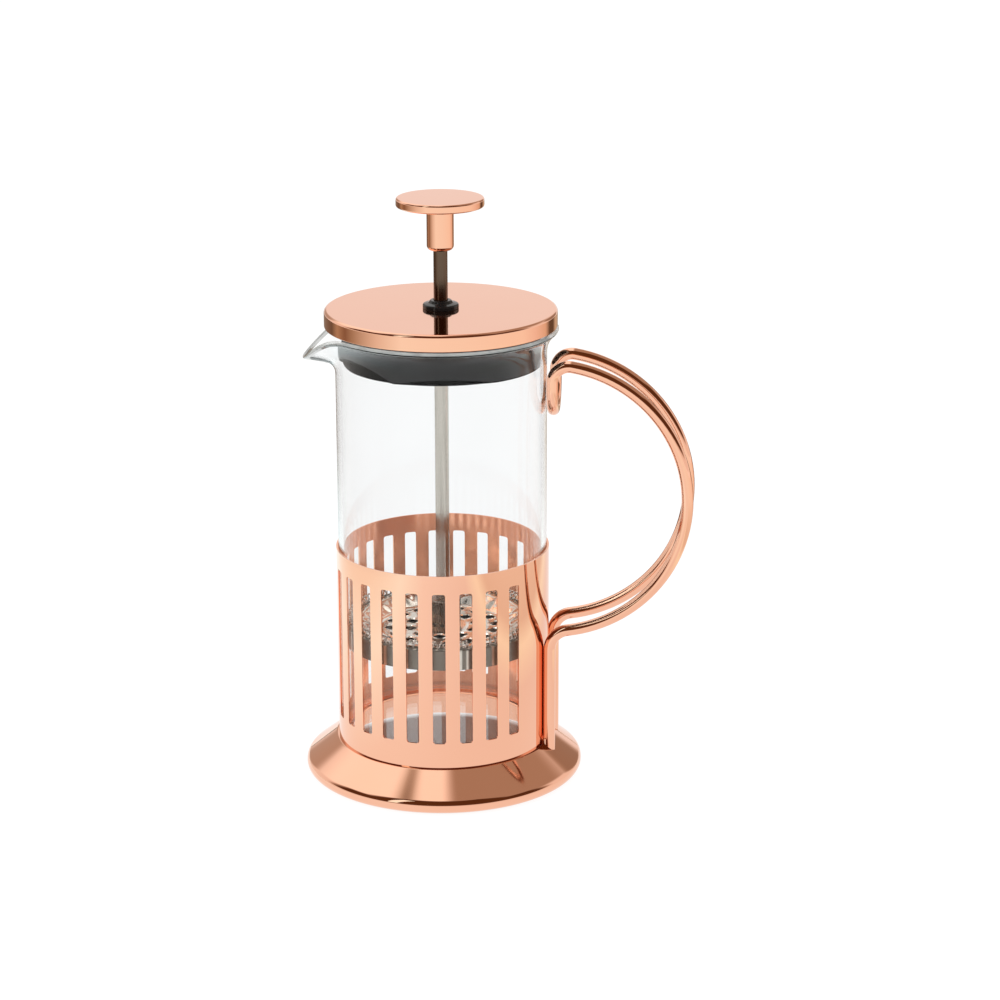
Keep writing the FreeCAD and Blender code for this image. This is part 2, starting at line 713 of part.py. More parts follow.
def cross_plate():
    """Bottom plate with large openings and a turned-down rim inside the screen's."""
    body = new_body("cross_plate")
    rim = f"{CROSS_TOP} + dish_rise"
    section = dished(body, "CrossSection", CROSS_TOP, "cross_sheet", [
        ("cross_radius - cross_sheet", f"{rim} - cross_sheet"),
        ("cross_radius - cross_sheet", "cross_bottom"),
        ("cross_radius", "cross_bottom"),
        ("cross_radius", rim),
    ])
    plate = turned(body, section)
    round_rings(body, plate, [("cross_radius", rim)], "cross_sheet * bend_share")
    ring_of_holes(body, "Port", "port_radius", "port_ring", f"{CROSS_TOP} + layer_gap", "port_count")


def edge_coil():
    """The outer shape of the coiled spring that runs round the filter's edge."""
    coil = document.addObject("Part::Torus", "edge_coil")
    coil.Label = "edge_coil"
    coil.setExpression("Radius1", bound("coil_radius"))
    coil.setExpression("Radius2", bound("coil_section"))
    coil.setExpression("Placement.Base.z", bound("hub_bottom + dish_rise + coil_section * coil_seat"))
    subparts.append(coil)


def export():
    """Checks every object and sub-part, then writes one file for each sub-part."""
    document.recompute()
    for item in document.Objects:
        if {"Invalid", "Error"} & set(item.State):
            raise ValueError(f"{item.Name} is {item.State}")
    os.makedirs("parts", exist_ok=True)
    for item in subparts:
        shape = item.Shape
        if shape.isNull() or not shape.isValid() or len(shape.Solids) != 1:
            raise ValueError(f"{item.Label} is not one valid solid")
        shape.exportStep(f"parts/{item.Label}.step")
        print(f"{item.Label}: {shape.Volume:.1f} mm3")


frame_sleeve()
base_skirt()
handle_rod()
glass_beaker()
lid_cap()
lid_collar()
lid_bushing()
hexagon_nut("bushing_nut", "bush_stem + thread_gap", "cap_top - cap_sheet - collar_plate - nut_depth")
plunger_rod()
knob_neck()
knob_disc()
hub_nut()
spring_plate()
mesh_screen()
cross_plate()
edge_coil()
hexagon_nut("bottom_nut", "spigot_radius + thread_gap", f"{CROSS_TOP} - cross_sheet - nut_depth")
export()
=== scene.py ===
"""Small press-pot coffee maker: its finishes and fine shapes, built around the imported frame.

Metres, with the frame's own axes: +Z up, +X towards the handle and -X towards the spout.
"""

import logging
import math
from collections.abc import Callable, Sequence
from dataclasses import dataclass
from enum import Enum
from functools import cache
from typing import Any, ClassVar

import bmesh
import bpy
import numpy as np
from mathutils import Euler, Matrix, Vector


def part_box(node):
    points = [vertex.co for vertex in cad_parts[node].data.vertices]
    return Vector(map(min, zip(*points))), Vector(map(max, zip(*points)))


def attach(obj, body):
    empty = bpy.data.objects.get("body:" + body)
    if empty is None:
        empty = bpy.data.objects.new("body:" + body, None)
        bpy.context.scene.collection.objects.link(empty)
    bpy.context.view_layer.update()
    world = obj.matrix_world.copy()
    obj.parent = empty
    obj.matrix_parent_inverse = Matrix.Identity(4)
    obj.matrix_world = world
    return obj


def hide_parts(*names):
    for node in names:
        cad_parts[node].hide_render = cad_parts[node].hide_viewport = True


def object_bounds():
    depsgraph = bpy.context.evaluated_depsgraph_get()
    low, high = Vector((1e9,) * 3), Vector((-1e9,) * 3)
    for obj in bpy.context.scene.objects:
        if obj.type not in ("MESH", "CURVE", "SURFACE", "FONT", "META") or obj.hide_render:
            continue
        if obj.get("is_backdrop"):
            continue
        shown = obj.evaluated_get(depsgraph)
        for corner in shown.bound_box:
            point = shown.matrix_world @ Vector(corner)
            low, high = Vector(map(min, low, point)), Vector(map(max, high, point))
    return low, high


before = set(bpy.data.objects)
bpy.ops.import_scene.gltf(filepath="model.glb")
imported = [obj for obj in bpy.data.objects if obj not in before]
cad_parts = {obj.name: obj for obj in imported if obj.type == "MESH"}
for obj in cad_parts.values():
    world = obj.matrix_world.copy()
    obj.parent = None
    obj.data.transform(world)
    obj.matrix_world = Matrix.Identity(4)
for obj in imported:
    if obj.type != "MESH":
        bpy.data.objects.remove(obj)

MM = 0.001
NOISE_LOW = 0.35
NOISE_HIGH = 0.65
WELD = 0.005 * MM

Colour = tuple[float, float, float]
Point = tuple[float, float, float]

log = logging.getLogger("press_pot")


class Slot(Enum):
    """The record's material slots."""

    COPPER = "copper_plate"
    GLASS = "clear_glass"
    DARK_PLASTIC = "dark_plastic"
    BLACK_PLASTIC = "black_plastic"
    ROD = "steel_rod"
    SHEET = "steel_sheet"
    MESH = "steel_mesh"
    NUT = "steel_nut"


class Body(Enum):
    """The frame's moving bodies."""

    FRAME = "frame"
    BEAKER = "beaker"
    LID = "lid"
    PLUNGER = "plunger"
    FILTER = "filter"


@dataclass(frozen=True)
class Extent:
    """The space that one node of the frame fills."""

    low: Vector
    high: Vector

    @staticmethod
    @cache
    def of(node: str) -> "Extent":
        """The extent of the node with that name."""
        return Extent(*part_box(node))

    @property
    def radius(self) -> float:
        """Half of the width across the press, which is the radius of a turned piece."""
        return (self.high.y - self.low.y) / 2


# --- finishes -----------------------------------------------------------------------------------


class Nodes:
    """A node tree under construction, with a short way to add nodes and to join them."""

    tree: bpy.types.NodeTree

    def add(self, kind: str, sockets: dict[str | int, Any] | None = None,
            **settings: Any) -> bpy.types.Node:
        """Adds a node.

        Args:
            kind: the node's type.
            sockets: for each input, a value to set or a socket to join to it.
            **settings: the node's own properties.

        Returns:
            The new node.
        """
        node = self.tree.nodes.new(kind)
        for key, setting in settings.items():
            setattr(node, key, setting)
        for key, given in (sockets or {}).items():
            if isinstance(given, bpy.types.NodeSocket):
                self.tree.links.new(given, node.inputs[key])
            else:
                node.inputs[key].default_value = given
        return node

    def sum(self, operation: str, first: Any, second: Any = 0.0) -> bpy.types.NodeSocket:
        """One step of arithmetic.

        Args:
            operation: the step, such as MULTIPLY.
            first: a number or a socket.
            second: a number or a socket.

        Returns:
            The socket that gives the result.
        """
        return self.add("ShaderNodeMath", {0: first, 1: second}, operation=operation).outputs[0]


class Shading(Nodes):
    """A material's node tree."""

    def __init__(self, name: str) -> None:
        """Starts an empty material.

        Args:
            name: what the material is called.
        """
        self.material = bpy.data.materials.new(name)
        self.material.use_nodes = True
        self.tree = self.material.node_tree
        self.tree.nodes.clear()

    def place(self, stretch: Point = (1.0, 1.0, 1.0)) -> bpy.types.NodeSocket:
        """Object coordinates, stretched.

        Args:
            stretch: the factor along each axis.

        Returns:
            The socket that gives them.
        """
        source = self.add("ShaderNodeTexCoord").outputs["Object"]
        return self.add("ShaderNodeMapping", {"Vector": source, "Scale": stretch}).outputs["Vector"]

    def noise(self, scale: float, detail: float = 4.0,
              stretch: Point = (1.0, 1.0, 1.0)) -> bpy.types.NodeSocket:
        """Cloudy noise between 0 and 1.

        Args:
            scale: how many features there are in a metre.
            detail: how many finer layers it has.
            stretch: the factor along each axis.

        Returns:
            The socket that gives it.
        """
        sockets = {"Vector": self.place(stretch), "Scale": scale, "Detail": detail}
        return self.add("ShaderNodeTexNoise", sockets).outputs["Fac"]

    def between(self, share: bpy.types.NodeSocket, low: float, high: float) -> bpy.types.NodeSocket:
        """Spreads the middle of a noise over a range.

        Args:
            share: the noise.
            low: what it gives at the range's low end.
            high: what it gives at its high end.

        Returns:
            The socket that gives the result.
        """
        return self.add("ShaderNodeMapRange", {
            "Value": share, "From Min": NOISE_LOW, "From Max": NOISE_HIGH, "To Min": low, "To Max": high,
        }).outputs["Result"]

    def blend(self, share: bpy.types.NodeSocket, first: Colour, second: Colour) -> bpy.types.NodeSocket:
        """Goes from one colour to the other as a noise rises through its middle.

        Args:
            share: the noise.
            first: the colour at its low end.
            second: the colour at its high end.

        Returns:
            The socket that gives the colour.
        """
        return self.tones(share, ((NOISE_LOW, first), (NOISE_HIGH, second)))

    def tones(self, share: bpy.types.NodeSocket,
              stops: Sequence[tuple[float, Colour]]) -> bpy.types.NodeSocket:
        """A row of colours along a number between 0 and 1.

        Args:
            share: the number.
            stops: the places and their colours.

        Returns:
            The socket that gives the colour.
        """
        ramp = self.add("ShaderNodeValToRGB", {"Fac": share})
        elements = ramp.color_ramp.elements
        while len(elements) < len(stops):
            elements.new(0.5)
        for element, (place, colour) in zip(elements, stops):
            element.position = place
            element.color = (*colour, 1.0)
        return ramp.outputs["Color"]

    def along(self, axis: str, start: float, end: float) -> bpy.types.NodeSocket:
        """Goes through the middle range of a noise as a coordinate goes from start to end.

        Args:
            axis: the object's axis, such as Z.
            start: where it is at the range's low end, in metres.
            end: where it is at the range's high end.

        Returns:
            The socket that gives the result.
        """
        value = self.add("ShaderNodeSeparateXYZ", {0: self.place()}).outputs[axis]
        return self.add("ShaderNodeMapRange", {
            "Value": value, "From Min": start, "From Max": end,
            "To Min": NOISE_LOW, "To Max": NOISE_HIGH,
        }).outputs["Result"]

    def relief(self, height: bpy.types.NodeSocket, strength: float, depth: float) -> bpy.types.NodeSocket:
        """A bump.

        Args:
            height: the socket that gives the height, between 0 and 1.
            strength: how much of it shows.
            depth: the height that 1 stands for, in metres.

        Returns:
            The socket that gives the normal.
        """
        bump = self.add("ShaderNodeBump", {"Height": height, "Strength": strength, "Distance": depth})
        return bump.outputs["Normal"]

    def close(self, surface: bpy.types.Node) -> bpy.types.Material:
        """Joins the last shader to the output.

        Args:
            surface: the shader's node.

        Returns:
            The finished material.
        """
        self.add("ShaderNodeOutputMaterial", {"Surface": surface.outputs[0]})
        self.material.cycles.emission_sampling = "NONE"
        return self.material


@dataclass(frozen=True)
class PlatedCopper:
    """Polished rose copper plating with a faint haze of handling and fine polishing lines."""

    name: str = "rose_copper_plate"
    bright: Colour = (0.945, 0.540, 0.378)
    warm: Colour = (0.925, 0.505, 0.345)
    polish: float = 0.03
    haze: float = 0.075

    def material(self) -> bpy.types.Material:
        """Builds the finish."""
        shading = Shading(self.name)
        smudge = shading.noise(34.0, 5.0)
        relief = shading.relief(shading.noise(240.0, 3.0), 0.015, 0.02 * MM)
        surface = shading.add("ShaderNodeBsdfPrincipled", {
            "Base Color": shading.blend(shading.noise(11.0), self.bright, self.warm),
            "Metallic": 1.0,
            "Roughness": shading.between(smudge, self.polish, self.haze),
            "Normal": relief,
        })
        return shading.close(surface)


@dataclass(frozen=True)
class InnerCopper:
    """The plating inside the sleeve: a duller, darker shaded copy of the plating, with a painted glow that
    stands in for light bouncing between its walls, warmer and stronger lower down.
    """

    name: str = "inner_plate_painted_glow"
    bright: Colour = (0.90, 0.47, 0.30)
    warm: Colour = (0.82, 0.38, 0.22)
    low: float = 38.0 * MM
    high: float = 62.0 * MM
    # Painted glow: the emission colours at the low and the high end of the sleeve, brighter at the bottom.
    low_painted_glow: Colour = (0.30, 0.14, 0.09)
    high_painted_glow: Colour = (0.215, 0.092, 0.055)

    def material(self) -> bpy.types.Material:
        """Builds the finish."""
        shading = Shading(self.name)
        share = shading.along("Z", self.low, self.high)
        surface = shading.add("ShaderNodeBsdfPrincipled", {
            "Base Color": shading.blend(shading.noise(60.0), self.bright, self.warm),
            "Metallic": 1.0,
            "Roughness": shading.between(shading.noise(120.0, 5.0), 0.10, 0.22),
            "Emission Color": shading.blend(share, self.low_painted_glow, self.high_painted_glow),
            "Emission Strength": shading.between(shading.noise(45.0, 3.0, (1.0, 1.0, 0.3)), 0.75, 1.25),
        })
        return shading.close(surface)


@dataclass(frozen=True)
class RodSteel:
    """The rod's drawn steel, painted warmer and darker above the lid than inside the beaker: a painted
    reflection of the dark, copper surroundings there.
    """

    name: str = "drawn_steel_rod"
    light: Colour = (0.60, 0.57, 0.51)
    dark: Colour = (0.46, 0.43, 0.38)
    # Painted dark, warm reflection that covers the rod above the lid.
    painted_dark_reflection: Colour = (0.13, 0.085, 0.06)
    from_height: float = 158.0 * MM
    to_height: float = 165.0 * MM

    def material(self) -> bpy.types.Material:
        """Builds the finish."""
        shading = Shading(self.name)
        lines = shading.noise(700.0, 3.0, (1.0, 1.0, 0.03))
        plain = shading.blend(lines, self.light, self.dark)
        height = shading.add("ShaderNodeSeparateXYZ", {0: shading.place()}).outputs["Z"]
        share = shading.add("ShaderNodeMapRange", {
            "Value": height, "From Min": self.from_height, "From Max": self.to_height,
        }, interpolation_type="SMOOTHSTEP").outputs["Result"]
        # Above the lid the colour turns to the painted dark reflection.
        colour = shading.add("ShaderNodeMix", {"Factor": share, 6: plain, 7: (*self.painted_dark_reflection, 1.0)},
                             data_type="RGBA")
        surface = shading.add("ShaderNodeBsdfPrincipled", {
            "Base Color": colour.outputs[2],
            "Metallic": 1.0,
            "Roughness": shading.between(lines, 0.12, 0.24),
            "Normal": shading.relief(lines, 0.10, 0.01 * MM),
        })
        return shading.close(surface)


@dataclass(frozen=True)
class Steel:
    """Stainless steel, drawn, pressed or plain, with lines along one axis."""

    name: str
    light: Colour
    dark: Colour
    smooth: float
    rough: float
    lines: float
    stretch: Point
    depth: float = 0.01 * MM

    def material(self) -> bpy.types.Material:
        """Builds the finish."""
        shading = Shading(self.name)
        lines = shading.noise(self.lines, 3.0, self.stretch)
        cloud = shading.noise(90.0, 4.0)
        surface = shading.add("ShaderNodeBsdfPrincipled", {
            "Base Color": shading.blend(cloud, self.light, self.dark),
            "Metallic": 1.0,
            "Roughness": shading.between(lines, self.smooth, self.rough),
            "Normal": shading.relief(lines, 0.12, self.depth),
        })
        return shading.close(surface)


@dataclass(frozen=True)
class Plastic:
    """Moulded plastic with a fine grain and faint flow marks."""

    name: str
    light: Colour
    dark: Colour
    smooth: float
    rough: float
    grain: float
    gloss: float = 0.35

    def material(self) -> bpy.types.Material:
        """Builds the finish."""
        shading = Shading(self.name)
        grain = shading.noise(2600.0, 2.0)
        surface = shading.add("ShaderNodeBsdfPrincipled", {
            "Specular IOR Level": self.gloss,
            "Base Color": shading.blend(shading.noise(45.0), self.light, self.dark),
            "Roughness": shading.between(shading.noise(160.0, 5.0), self.smooth, self.rough),
            "Normal": shading.relief(grain, self.grain, 0.02 * MM),
        })
        return shading.close(surface)


@dataclass(frozen=True)
class ClearGlass:
    """Clear borosilicate glass, slightly wavy, with its mirror reflection cut to a quarter."""

    name: str = "clear_beaker_glass"
    tint: Colour = (0.934, 0.940, 0.942)
    faint_tint: Colour = (0.944, 0.950, 0.952)

    def material(self) -> bpy.types.Material:
        """Builds the finish."""
        shading = Shading(self.name)
        surface = shading.add("ShaderNodeBsdfPrincipled", {
            "Base Color": shading.blend(shading.noise(30.0), self.tint, self.faint_tint),
            "Roughness": shading.between(shading.noise(25.0, 5.0), 0.0, 0.012),
            "IOR": 1.47,
            "Specular Tint": (0.25, 0.25, 0.25, 1.0),
            "Transmission Weight": 1.0,
            "Normal": shading.relief(shading.noise(55.0, 1.0, (1.0, 1.0, 0.25)), 0.03, 0.3 * MM),
        })
        return shading.close(surface)


@dataclass(frozen=True)
class PaintedRimGlass:
    """The beaker's fire-polished rim, painted with light and shade: a pale painted highlight where the rim is
    full and a dark olive painted shade along the spout's lip.
    """

    name: str = "rim_painted_highlight_and_shade"
    # Dark olive painted shade along the spout's lip, and a pale painted highlight round the rest of the rim.
    lip: Colour = (0.16, 0.165, 0.135)
    rim: Colour = (0.74, 0.77, 0.75)
    lip_end: float = -39.5 * MM
    rim_start: float = -34.5 * MM

    def material(self) -> bpy.types.Material:
        """Builds the finish."""
        shading = Shading(self.name)
        share = shading.along("X", self.lip_end, self.rim_start)
        surface = shading.add("ShaderNodeBsdfPrincipled", {
            "Base Color": shading.blend(share, self.lip, self.rim),
            "Roughness": shading.between(shading.noise(200.0), 0.08, 0.18),
            "Alpha": shading.between(shading.noise(150.0, 3.0), 0.36, 0.52),
        })
        return shading.close(surface)


@dataclass(frozen=True)
class WovenSteel:
    """Fine woven wire cloth, where it is a flat sheet."""

    name: str = "woven_steel_cloth"
    light: Colour = (0.80, 0.74, 0.65)
    dark: Colour = (0.36, 0.32, 0.27)
    pitch: float = 0.4 * MM

    def material(self) -> bpy.types.Material:
        """Builds the finish."""
        shading = Shading(self.name)
        heights = []
        for axis in ("X", "Y"):
            wave = shading.add("ShaderNodeTexWave", {
                "Vector": shading.place(),
                "Scale": 1.0 / (self.pitch * 20.0),
                "Distortion": 0.0,
            }, bands_direction=axis)
            heights.append(wave.outputs["Fac"])
        weave = shading.add("ShaderNodeMath", {0: heights[0], 1: heights[1]}, operation="MULTIPLY").outputs[0]
        surface = shading.add("ShaderNodeBsdfPrincipled", {
            "Base Color": shading.blend(weave, self.dark, self.light),
            "Metallic": 1.0,
            "Roughness": shading.between(weave, 0.55, 0.35),
            "Normal": shading.relief(weave, 0.5, 0.1 * MM),
        })
        return shading.close(surface)


class Finishes:
    """Every finish of the press, built once."""

    def __init__(self) -> None:
        """Builds the materials."""
        self.copper = PlatedCopper().material()
        self.glass = ClearGlass().material()
        self.inner_copper = InnerCopper().material()
        self.rod = RodSteel().material()
        self.hub = Steel("turned_hub_steel", (0.36, 0.31, 0.26), (0.24, 0.20, 0.165), 0.16, 0.30,
                         700.0, (1.0, 1.0, 0.03)).material()
        self.sheet = Steel("bright_pressed_steel", (0.82, 0.74, 0.65), (0.54, 0.46, 0.38), 0.06, 0.18,
                           420.0, (1.0, 1.0, 1.0), 0.05 * MM).material()
        self.wire = Steel("spring_wire_steel", (0.70, 0.67, 0.62), (0.50, 0.47, 0.43), 0.14, 0.30,
                          900.0, (1.0, 1.0, 1.0)).material()
        self.nut = Steel("plain_nut_steel", (0.62, 0.61, 0.58), (0.45, 0.44, 0.42), 0.22, 0.42,
                         500.0, (1.0, 1.0, 0.2)).material()
        self.cloth = WovenSteel().material()
        self.rim_painted_light = PaintedRimGlass().material()
        self.dark_plastic = Plastic("dark_satin_plastic", (0.030, 0.030, 0.0305), (0.022, 0.022, 0.0225),
                                    0.30, 0.45, 0.10).material()
        # Near-black matte plastic for the collar's recess faces: painted shade.
        self.painted_shade_plastic = Plastic("collar_recess_painted_shade", (0.004, 0.004, 0.004), (0.002, 0.002, 0.002),
                                      0.75, 0.95, 0.10, 0.05).material()
        self.black_plastic = Plastic("black_gloss_plastic", (0.010, 0.010, 0.010), (0.006, 0.006, 0.006),
                                     0.12, 0.24, 0.05).material()


# --- meshes -------------------------------------------------------------------------------------


@dataclass(frozen=True)
class Corner:
    """A corner of a turned outline, and how far it is rounded."""

    across: float
    height: float
    rounding: float = 0.15 * MM


def outline(corners: Sequence[Corner], closed: bool) -> tuple[np.ndarray, np.ndarray]:
    """Rounds the corners of an outline that is walked with the material on its left.

    Args:
        corners: the corners, in order.
        closed: whether the last one leads back to the first.

    Returns:
        The places and the outward normals along it, each as rows of (across, height).
    """
    spots = [np.array((corner.across, corner.height)) for corner in corners]
    places: list[np.ndarray] = []
    normals: list[np.ndarray] = []
    last = len(corners) - 1
    for number, corner in enumerate(corners):
        here = spots[number]
        arrive = here - spots[number - 1]
        leave = spots[(number + 1) % len(spots)] - here
        if not closed and number == 0:
            arrive = leave
        if not closed and number == last:
            leave = arrive
        arrive = arrive / np.linalg.norm(arrive)
        leave = leave / np.linalg.norm(leave)
        turn = math.atan2(arrive[0] * leave[1] - arrive[1] * leave[0], float(arrive @ leave))
        if abs(turn) < 1e-6:
            places.append(here)
            normals.append(np.array((arrive[1], -arrive[0])))
            continue
        side = math.copysign(corner.rounding, turn)
        start = here - arrive * corner.rounding * math.tan(abs(turn) / 2)
        centre = start + side * np.array((-arrive[1], arrive[0]))
        steps = 4 if corner.rounding < 0.5 * MM else max(4, math.ceil(abs(turn) / math.radians(7.5)))
        for step in range(steps + 1):
            angle = turn * step / steps
            heading = np.array((
                arrive[0] * math.cos(angle) - arrive[1] * math.sin(angle),
                arrive[0] * math.sin(angle) + arrive[1] * math.cos(angle),
            ))
            normal = np.array((heading[1], -heading[0]))
            places.append(centre + side * normal)
            normals.append(normal)
    return np.array(places), np.array(normals)


def skin(name: str, points: np.ndarray, normals: np.ndarray, loop: bool) -> bpy.types.Mesh:
    """A closed surface through a grid of points that goes right round the axis.

    Args:
        name: what the mesh is called.
        points: the points as (ring, place round the ring, coordinate).
        normals: the outward normals, in the same order.
        loop: whether the last ring joins the first; without it both end rings are poles.

    Returns:
        The mesh, with those normals.
    """
    rings, around = points.shape[:2]
    number = np.arange(rings * around).reshape(rings, around)
    vertices = points.reshape(-1, 3)
    facing = normals.reshape(-1, 3)
    if not loop:
        number = number - (around - 1)
        number[0] = 0
        number[-1] = (rings - 2) * around + 1
        vertices = np.vstack((points[0, :1], points[1:-1].reshape(-1, 3), points[-1, :1]))
        facing = np.vstack((normals[0, :1], normals[1:-1].reshape(-1, 3), normals[-1, :1]))
    faces = []
    for ring in range(rings if loop else rings - 1):
        here = number[ring]
        above = number[(ring + 1) % rings]
        for place in range(around):
            beside = (place + 1) % around
            corners = [int(here[place]), int(here[beside]), int(above[beside]), int(above[place])]
            faces.append(list(dict.fromkeys(corners)))
    mesh = plain_mesh(name, vertices.tolist(), faces)
    mesh.shade_smooth()
    mesh.normals_split_custom_set_from_vertices(facing.tolist())
    return mesh


def turned(name: str, corners: Sequence[Corner], closed: bool, segments: int = 192) -> bpy.types.Mesh:
    """A turned piece.

    Args:
        name: what the mesh is called.
        corners: its outline; one that isn't closed starts and ends on the axis.
        closed: whether the outline is a ring's section.
        segments: how many sides it has.

    Returns:
        The mesh, with the exact normals of the turned surface.
    """
    places, facing = outline(corners, closed)
    angle = np.arange(segments) * (2 * math.pi / segments)
    across = np.stack((np.cos(angle), np.sin(angle)), axis=-1)

    def swept(section: np.ndarray) -> np.ndarray:
        """Rows of (across, height) carried round the axis."""
        flat = section[:, None, :1] * across[None]
        tall = np.broadcast_to(section[:, None, 1:], (*flat.shape[:2], 1))
        return np.concatenate((flat, tall), axis=-1)

    return skin(name, swept(places), swept(facing), closed)


def weighted_normals(mesh: bpy.types.Mesh) -> None:
    """Gives each vertex the mean normal of its faces by area, so that large faces shade flat."""
    facing = np.zeros((len(mesh.vertices), 3))
    for face in mesh.polygons:
        facing[list(face.vertices)] += np.array(face.normal) * face.area
    facing /= np.maximum(np.linalg.norm(facing, axis=1, keepdims=True), 1e-12)
    mesh.shade_smooth()
    mesh.normals_split_custom_set_from_vertices(facing.tolist())


def crisp_normals(mesh: bpy.types.Mesh) -> None:
    """Shades upright round walls exactly round, and every other face of the mesh flat."""
    facing = np.zeros((len(mesh.loops), 3))
    for face in mesh.polygons:
        normal = np.array(face.normal)
        spots = np.array([mesh.vertices[corner].co for corner in face.vertices])
        flat = spots * (1.0, 1.0, 0.0)
        flat /= np.maximum(np.linalg.norm(flat, axis=1, keepdims=True), 1e-9)
        out = float(flat.mean(axis=0) @ normal)
        loops = list(face.loop_indices)
        facing[loops] = flat * math.copysign(1.0, out) if abs(out) > 0.995 else normal
    mesh.shade_smooth()
    mesh.normals_split_custom_set(facing.tolist())


def evaluated(name: str, mesh: bpy.types.Mesh, prepare: Callable[[bpy.types.Object], None]) -> bpy.types.Mesh:
    """Runs a mesh through modifiers.

    Args:
        name: what the result is called.
        mesh: the mesh to start from.
        prepare: adds the modifiers to the object that it is given.

    Returns:
        The plain mesh that comes out, with no modifier left.
    """
    carrier = bpy.data.objects.new(name, mesh)
    bpy.context.scene.collection.objects.link(carrier)
    prepare(carrier)
    bpy.context.view_layer.update()
    depsgraph = bpy.context.evaluated_depsgraph_get()
    result = bpy.data.meshes.new_from_object(carrier.evaluated_get(depsgraph), depsgraph=depsgraph)
    bpy.data.objects.remove(carrier)
    result.name = name
    return result


def joined(name: str, meshes: Sequence[bpy.types.Mesh], gap: float = WELD) -> bpy.types.Mesh:
    """Puts meshes together and welds where they meet.

    Args:
        name: what the result is called.
        meshes: the meshes.
        gap: how near two vertices are welded.

    Returns:
        One mesh.
    """
    work = bmesh.new()
    for mesh in meshes:
        work.from_mesh(mesh)
    bmesh.ops.remove_doubles(work, verts=work.verts, dist=gap)
    result = bpy.data.meshes.new(name)
    work.to_mesh(result)
    work.free()
    return result


def plain_mesh(name: str, vertices: Sequence[Sequence[float]], faces: Sequence[Sequence[int]],
               edges: Sequence[tuple[int, int]] = ()) -> bpy.types.Mesh:
    """A mesh of the given points.

    Args:
        name: what it is called.
        vertices: its points.
        faces: the numbers of each face's points.
        edges: the numbers of each loose edge's points.

    Returns:
        The mesh.
    """
    mesh = bpy.data.meshes.new(name)
    mesh.from_pydata(vertices, edges, faces)
    return mesh


class Recipe(Nodes):
    """A Geometry Nodes tree under construction, with named inputs."""

    def __init__(self, name: str, inputs: dict[str, str]) -> None:
        """Starts the tree.

        Args:
            name: what the tree is called.
            inputs: the socket type of each named input, besides Geometry and Material.
        """
        self.tree = bpy.data.node_groups.new(name, "GeometryNodeTree")
        face = self.tree.interface
        sockets = {"Geometry": "Geometry", **inputs, "Material": "Material"}
        for label, kind in sockets.items():
            face.new_socket(name=label, in_out="INPUT", socket_type=f"NodeSocket{kind}")
        face.new_socket(name="Geometry", in_out="OUTPUT", socket_type="NodeSocketGeometry")
        self.given = self.tree.nodes.new("NodeGroupInput").outputs

    def close(self, geometry: bpy.types.NodeSocket) -> "Recipe":
        """Ends the tree: real geometry with its material.

        Args:
            geometry: the socket that gives the shape.

        Returns:
            The recipe itself.
        """
        real = self.add("GeometryNodeRealizeInstances", {"Geometry": geometry}).outputs[0]
        smooth = self.add("GeometryNodeSetShadeSmooth", {"Geometry": real}).outputs[0]
        material = self.given["Material"]
        dressed = self.add("GeometryNodeSetMaterial", {"Geometry": smooth, "Material": material})
        self.add("NodeGroupOutput", {"Geometry": dressed.outputs[0]})
        return self

    def make(self, name: str, mesh: bpy.types.Mesh, values: dict[str, Any]) -> bpy.types.Mesh:
        """Runs the tree.

        Args:
            name: what the result is called.
            mesh: the mesh that goes in.
            values: what each named input is set to.

        Returns:
            The plain mesh that comes out.
        """

        def prepare(carrier: bpy.types.Object) -> None:
            """Adds the modifier and sets its inputs by their identifiers."""
            modifier = carrier.modifiers.new("recipe", "NODES")
            modifier.node_group = self.tree
            for item in self.tree.interface.items_tree:
                if item.in_out == "INPUT" and item.name in values:
                    modifier[item.identifier] = values[item.name]

        return evaluated(name, mesh, prepare)


def ring_recipe() -> Recipe:
    """Copies of one cell, turned round the axis by a steady step and welded.

    Returns:
        The recipe, with inputs Count, First, Step and Weld.
    """
    recipe = Recipe("ring_of_cells", {"Count": "Int", "First": "Float", "Step": "Float", "Weld": "Float"})
    given = recipe.given
    index = recipe.add("GeometryNodeInputIndex").outputs[0]
    angle = recipe.sum("ADD", given["First"], recipe.sum("MULTIPLY", index, given["Step"]))
    euler = recipe.add("ShaderNodeCombineXYZ", {"Z": angle}).outputs[0]
    turn = recipe.add("FunctionNodeEulerToRotation", {"Euler": euler}).outputs[0]
    points = recipe.add("GeometryNodePoints", {"Count": given["Count"]}).outputs[0]
    copies = recipe.add("GeometryNodeInstanceOnPoints", {
        "Points": points, "Instance": given["Geometry"], "Rotation": turn,
    }).outputs[0]
    real = recipe.add("GeometryNodeRealizeInstances", {"Geometry": copies}).outputs[0]
    welded = recipe.add("GeometryNodeMergeByDistance", {"Geometry": real, "Distance": given["Weld"]})
    return recipe.close(welded.outputs[0])


def rod_recipe() -> Recipe:
    """A round rod along a line of edges.

    Returns:
        The recipe, with inputs Radius and Sides.
    """
    recipe = Recipe("rod_along_line", {"Radius": "Float", "Sides": "Int"})
    given = recipe.given
    line = recipe.add("GeometryNodeMeshToCurve", {"Mesh": given["Geometry"]}).outputs[0]
    section = recipe.add("GeometryNodeCurvePrimitiveCircle", {
        "Resolution": given["Sides"], "Radius": given["Radius"],
    }).outputs[0]
    rod = recipe.add("GeometryNodeCurveToMesh", {"Curve": line, "Profile Curve": section, "Fill Caps": True})
    return recipe.close(rod.outputs[0])


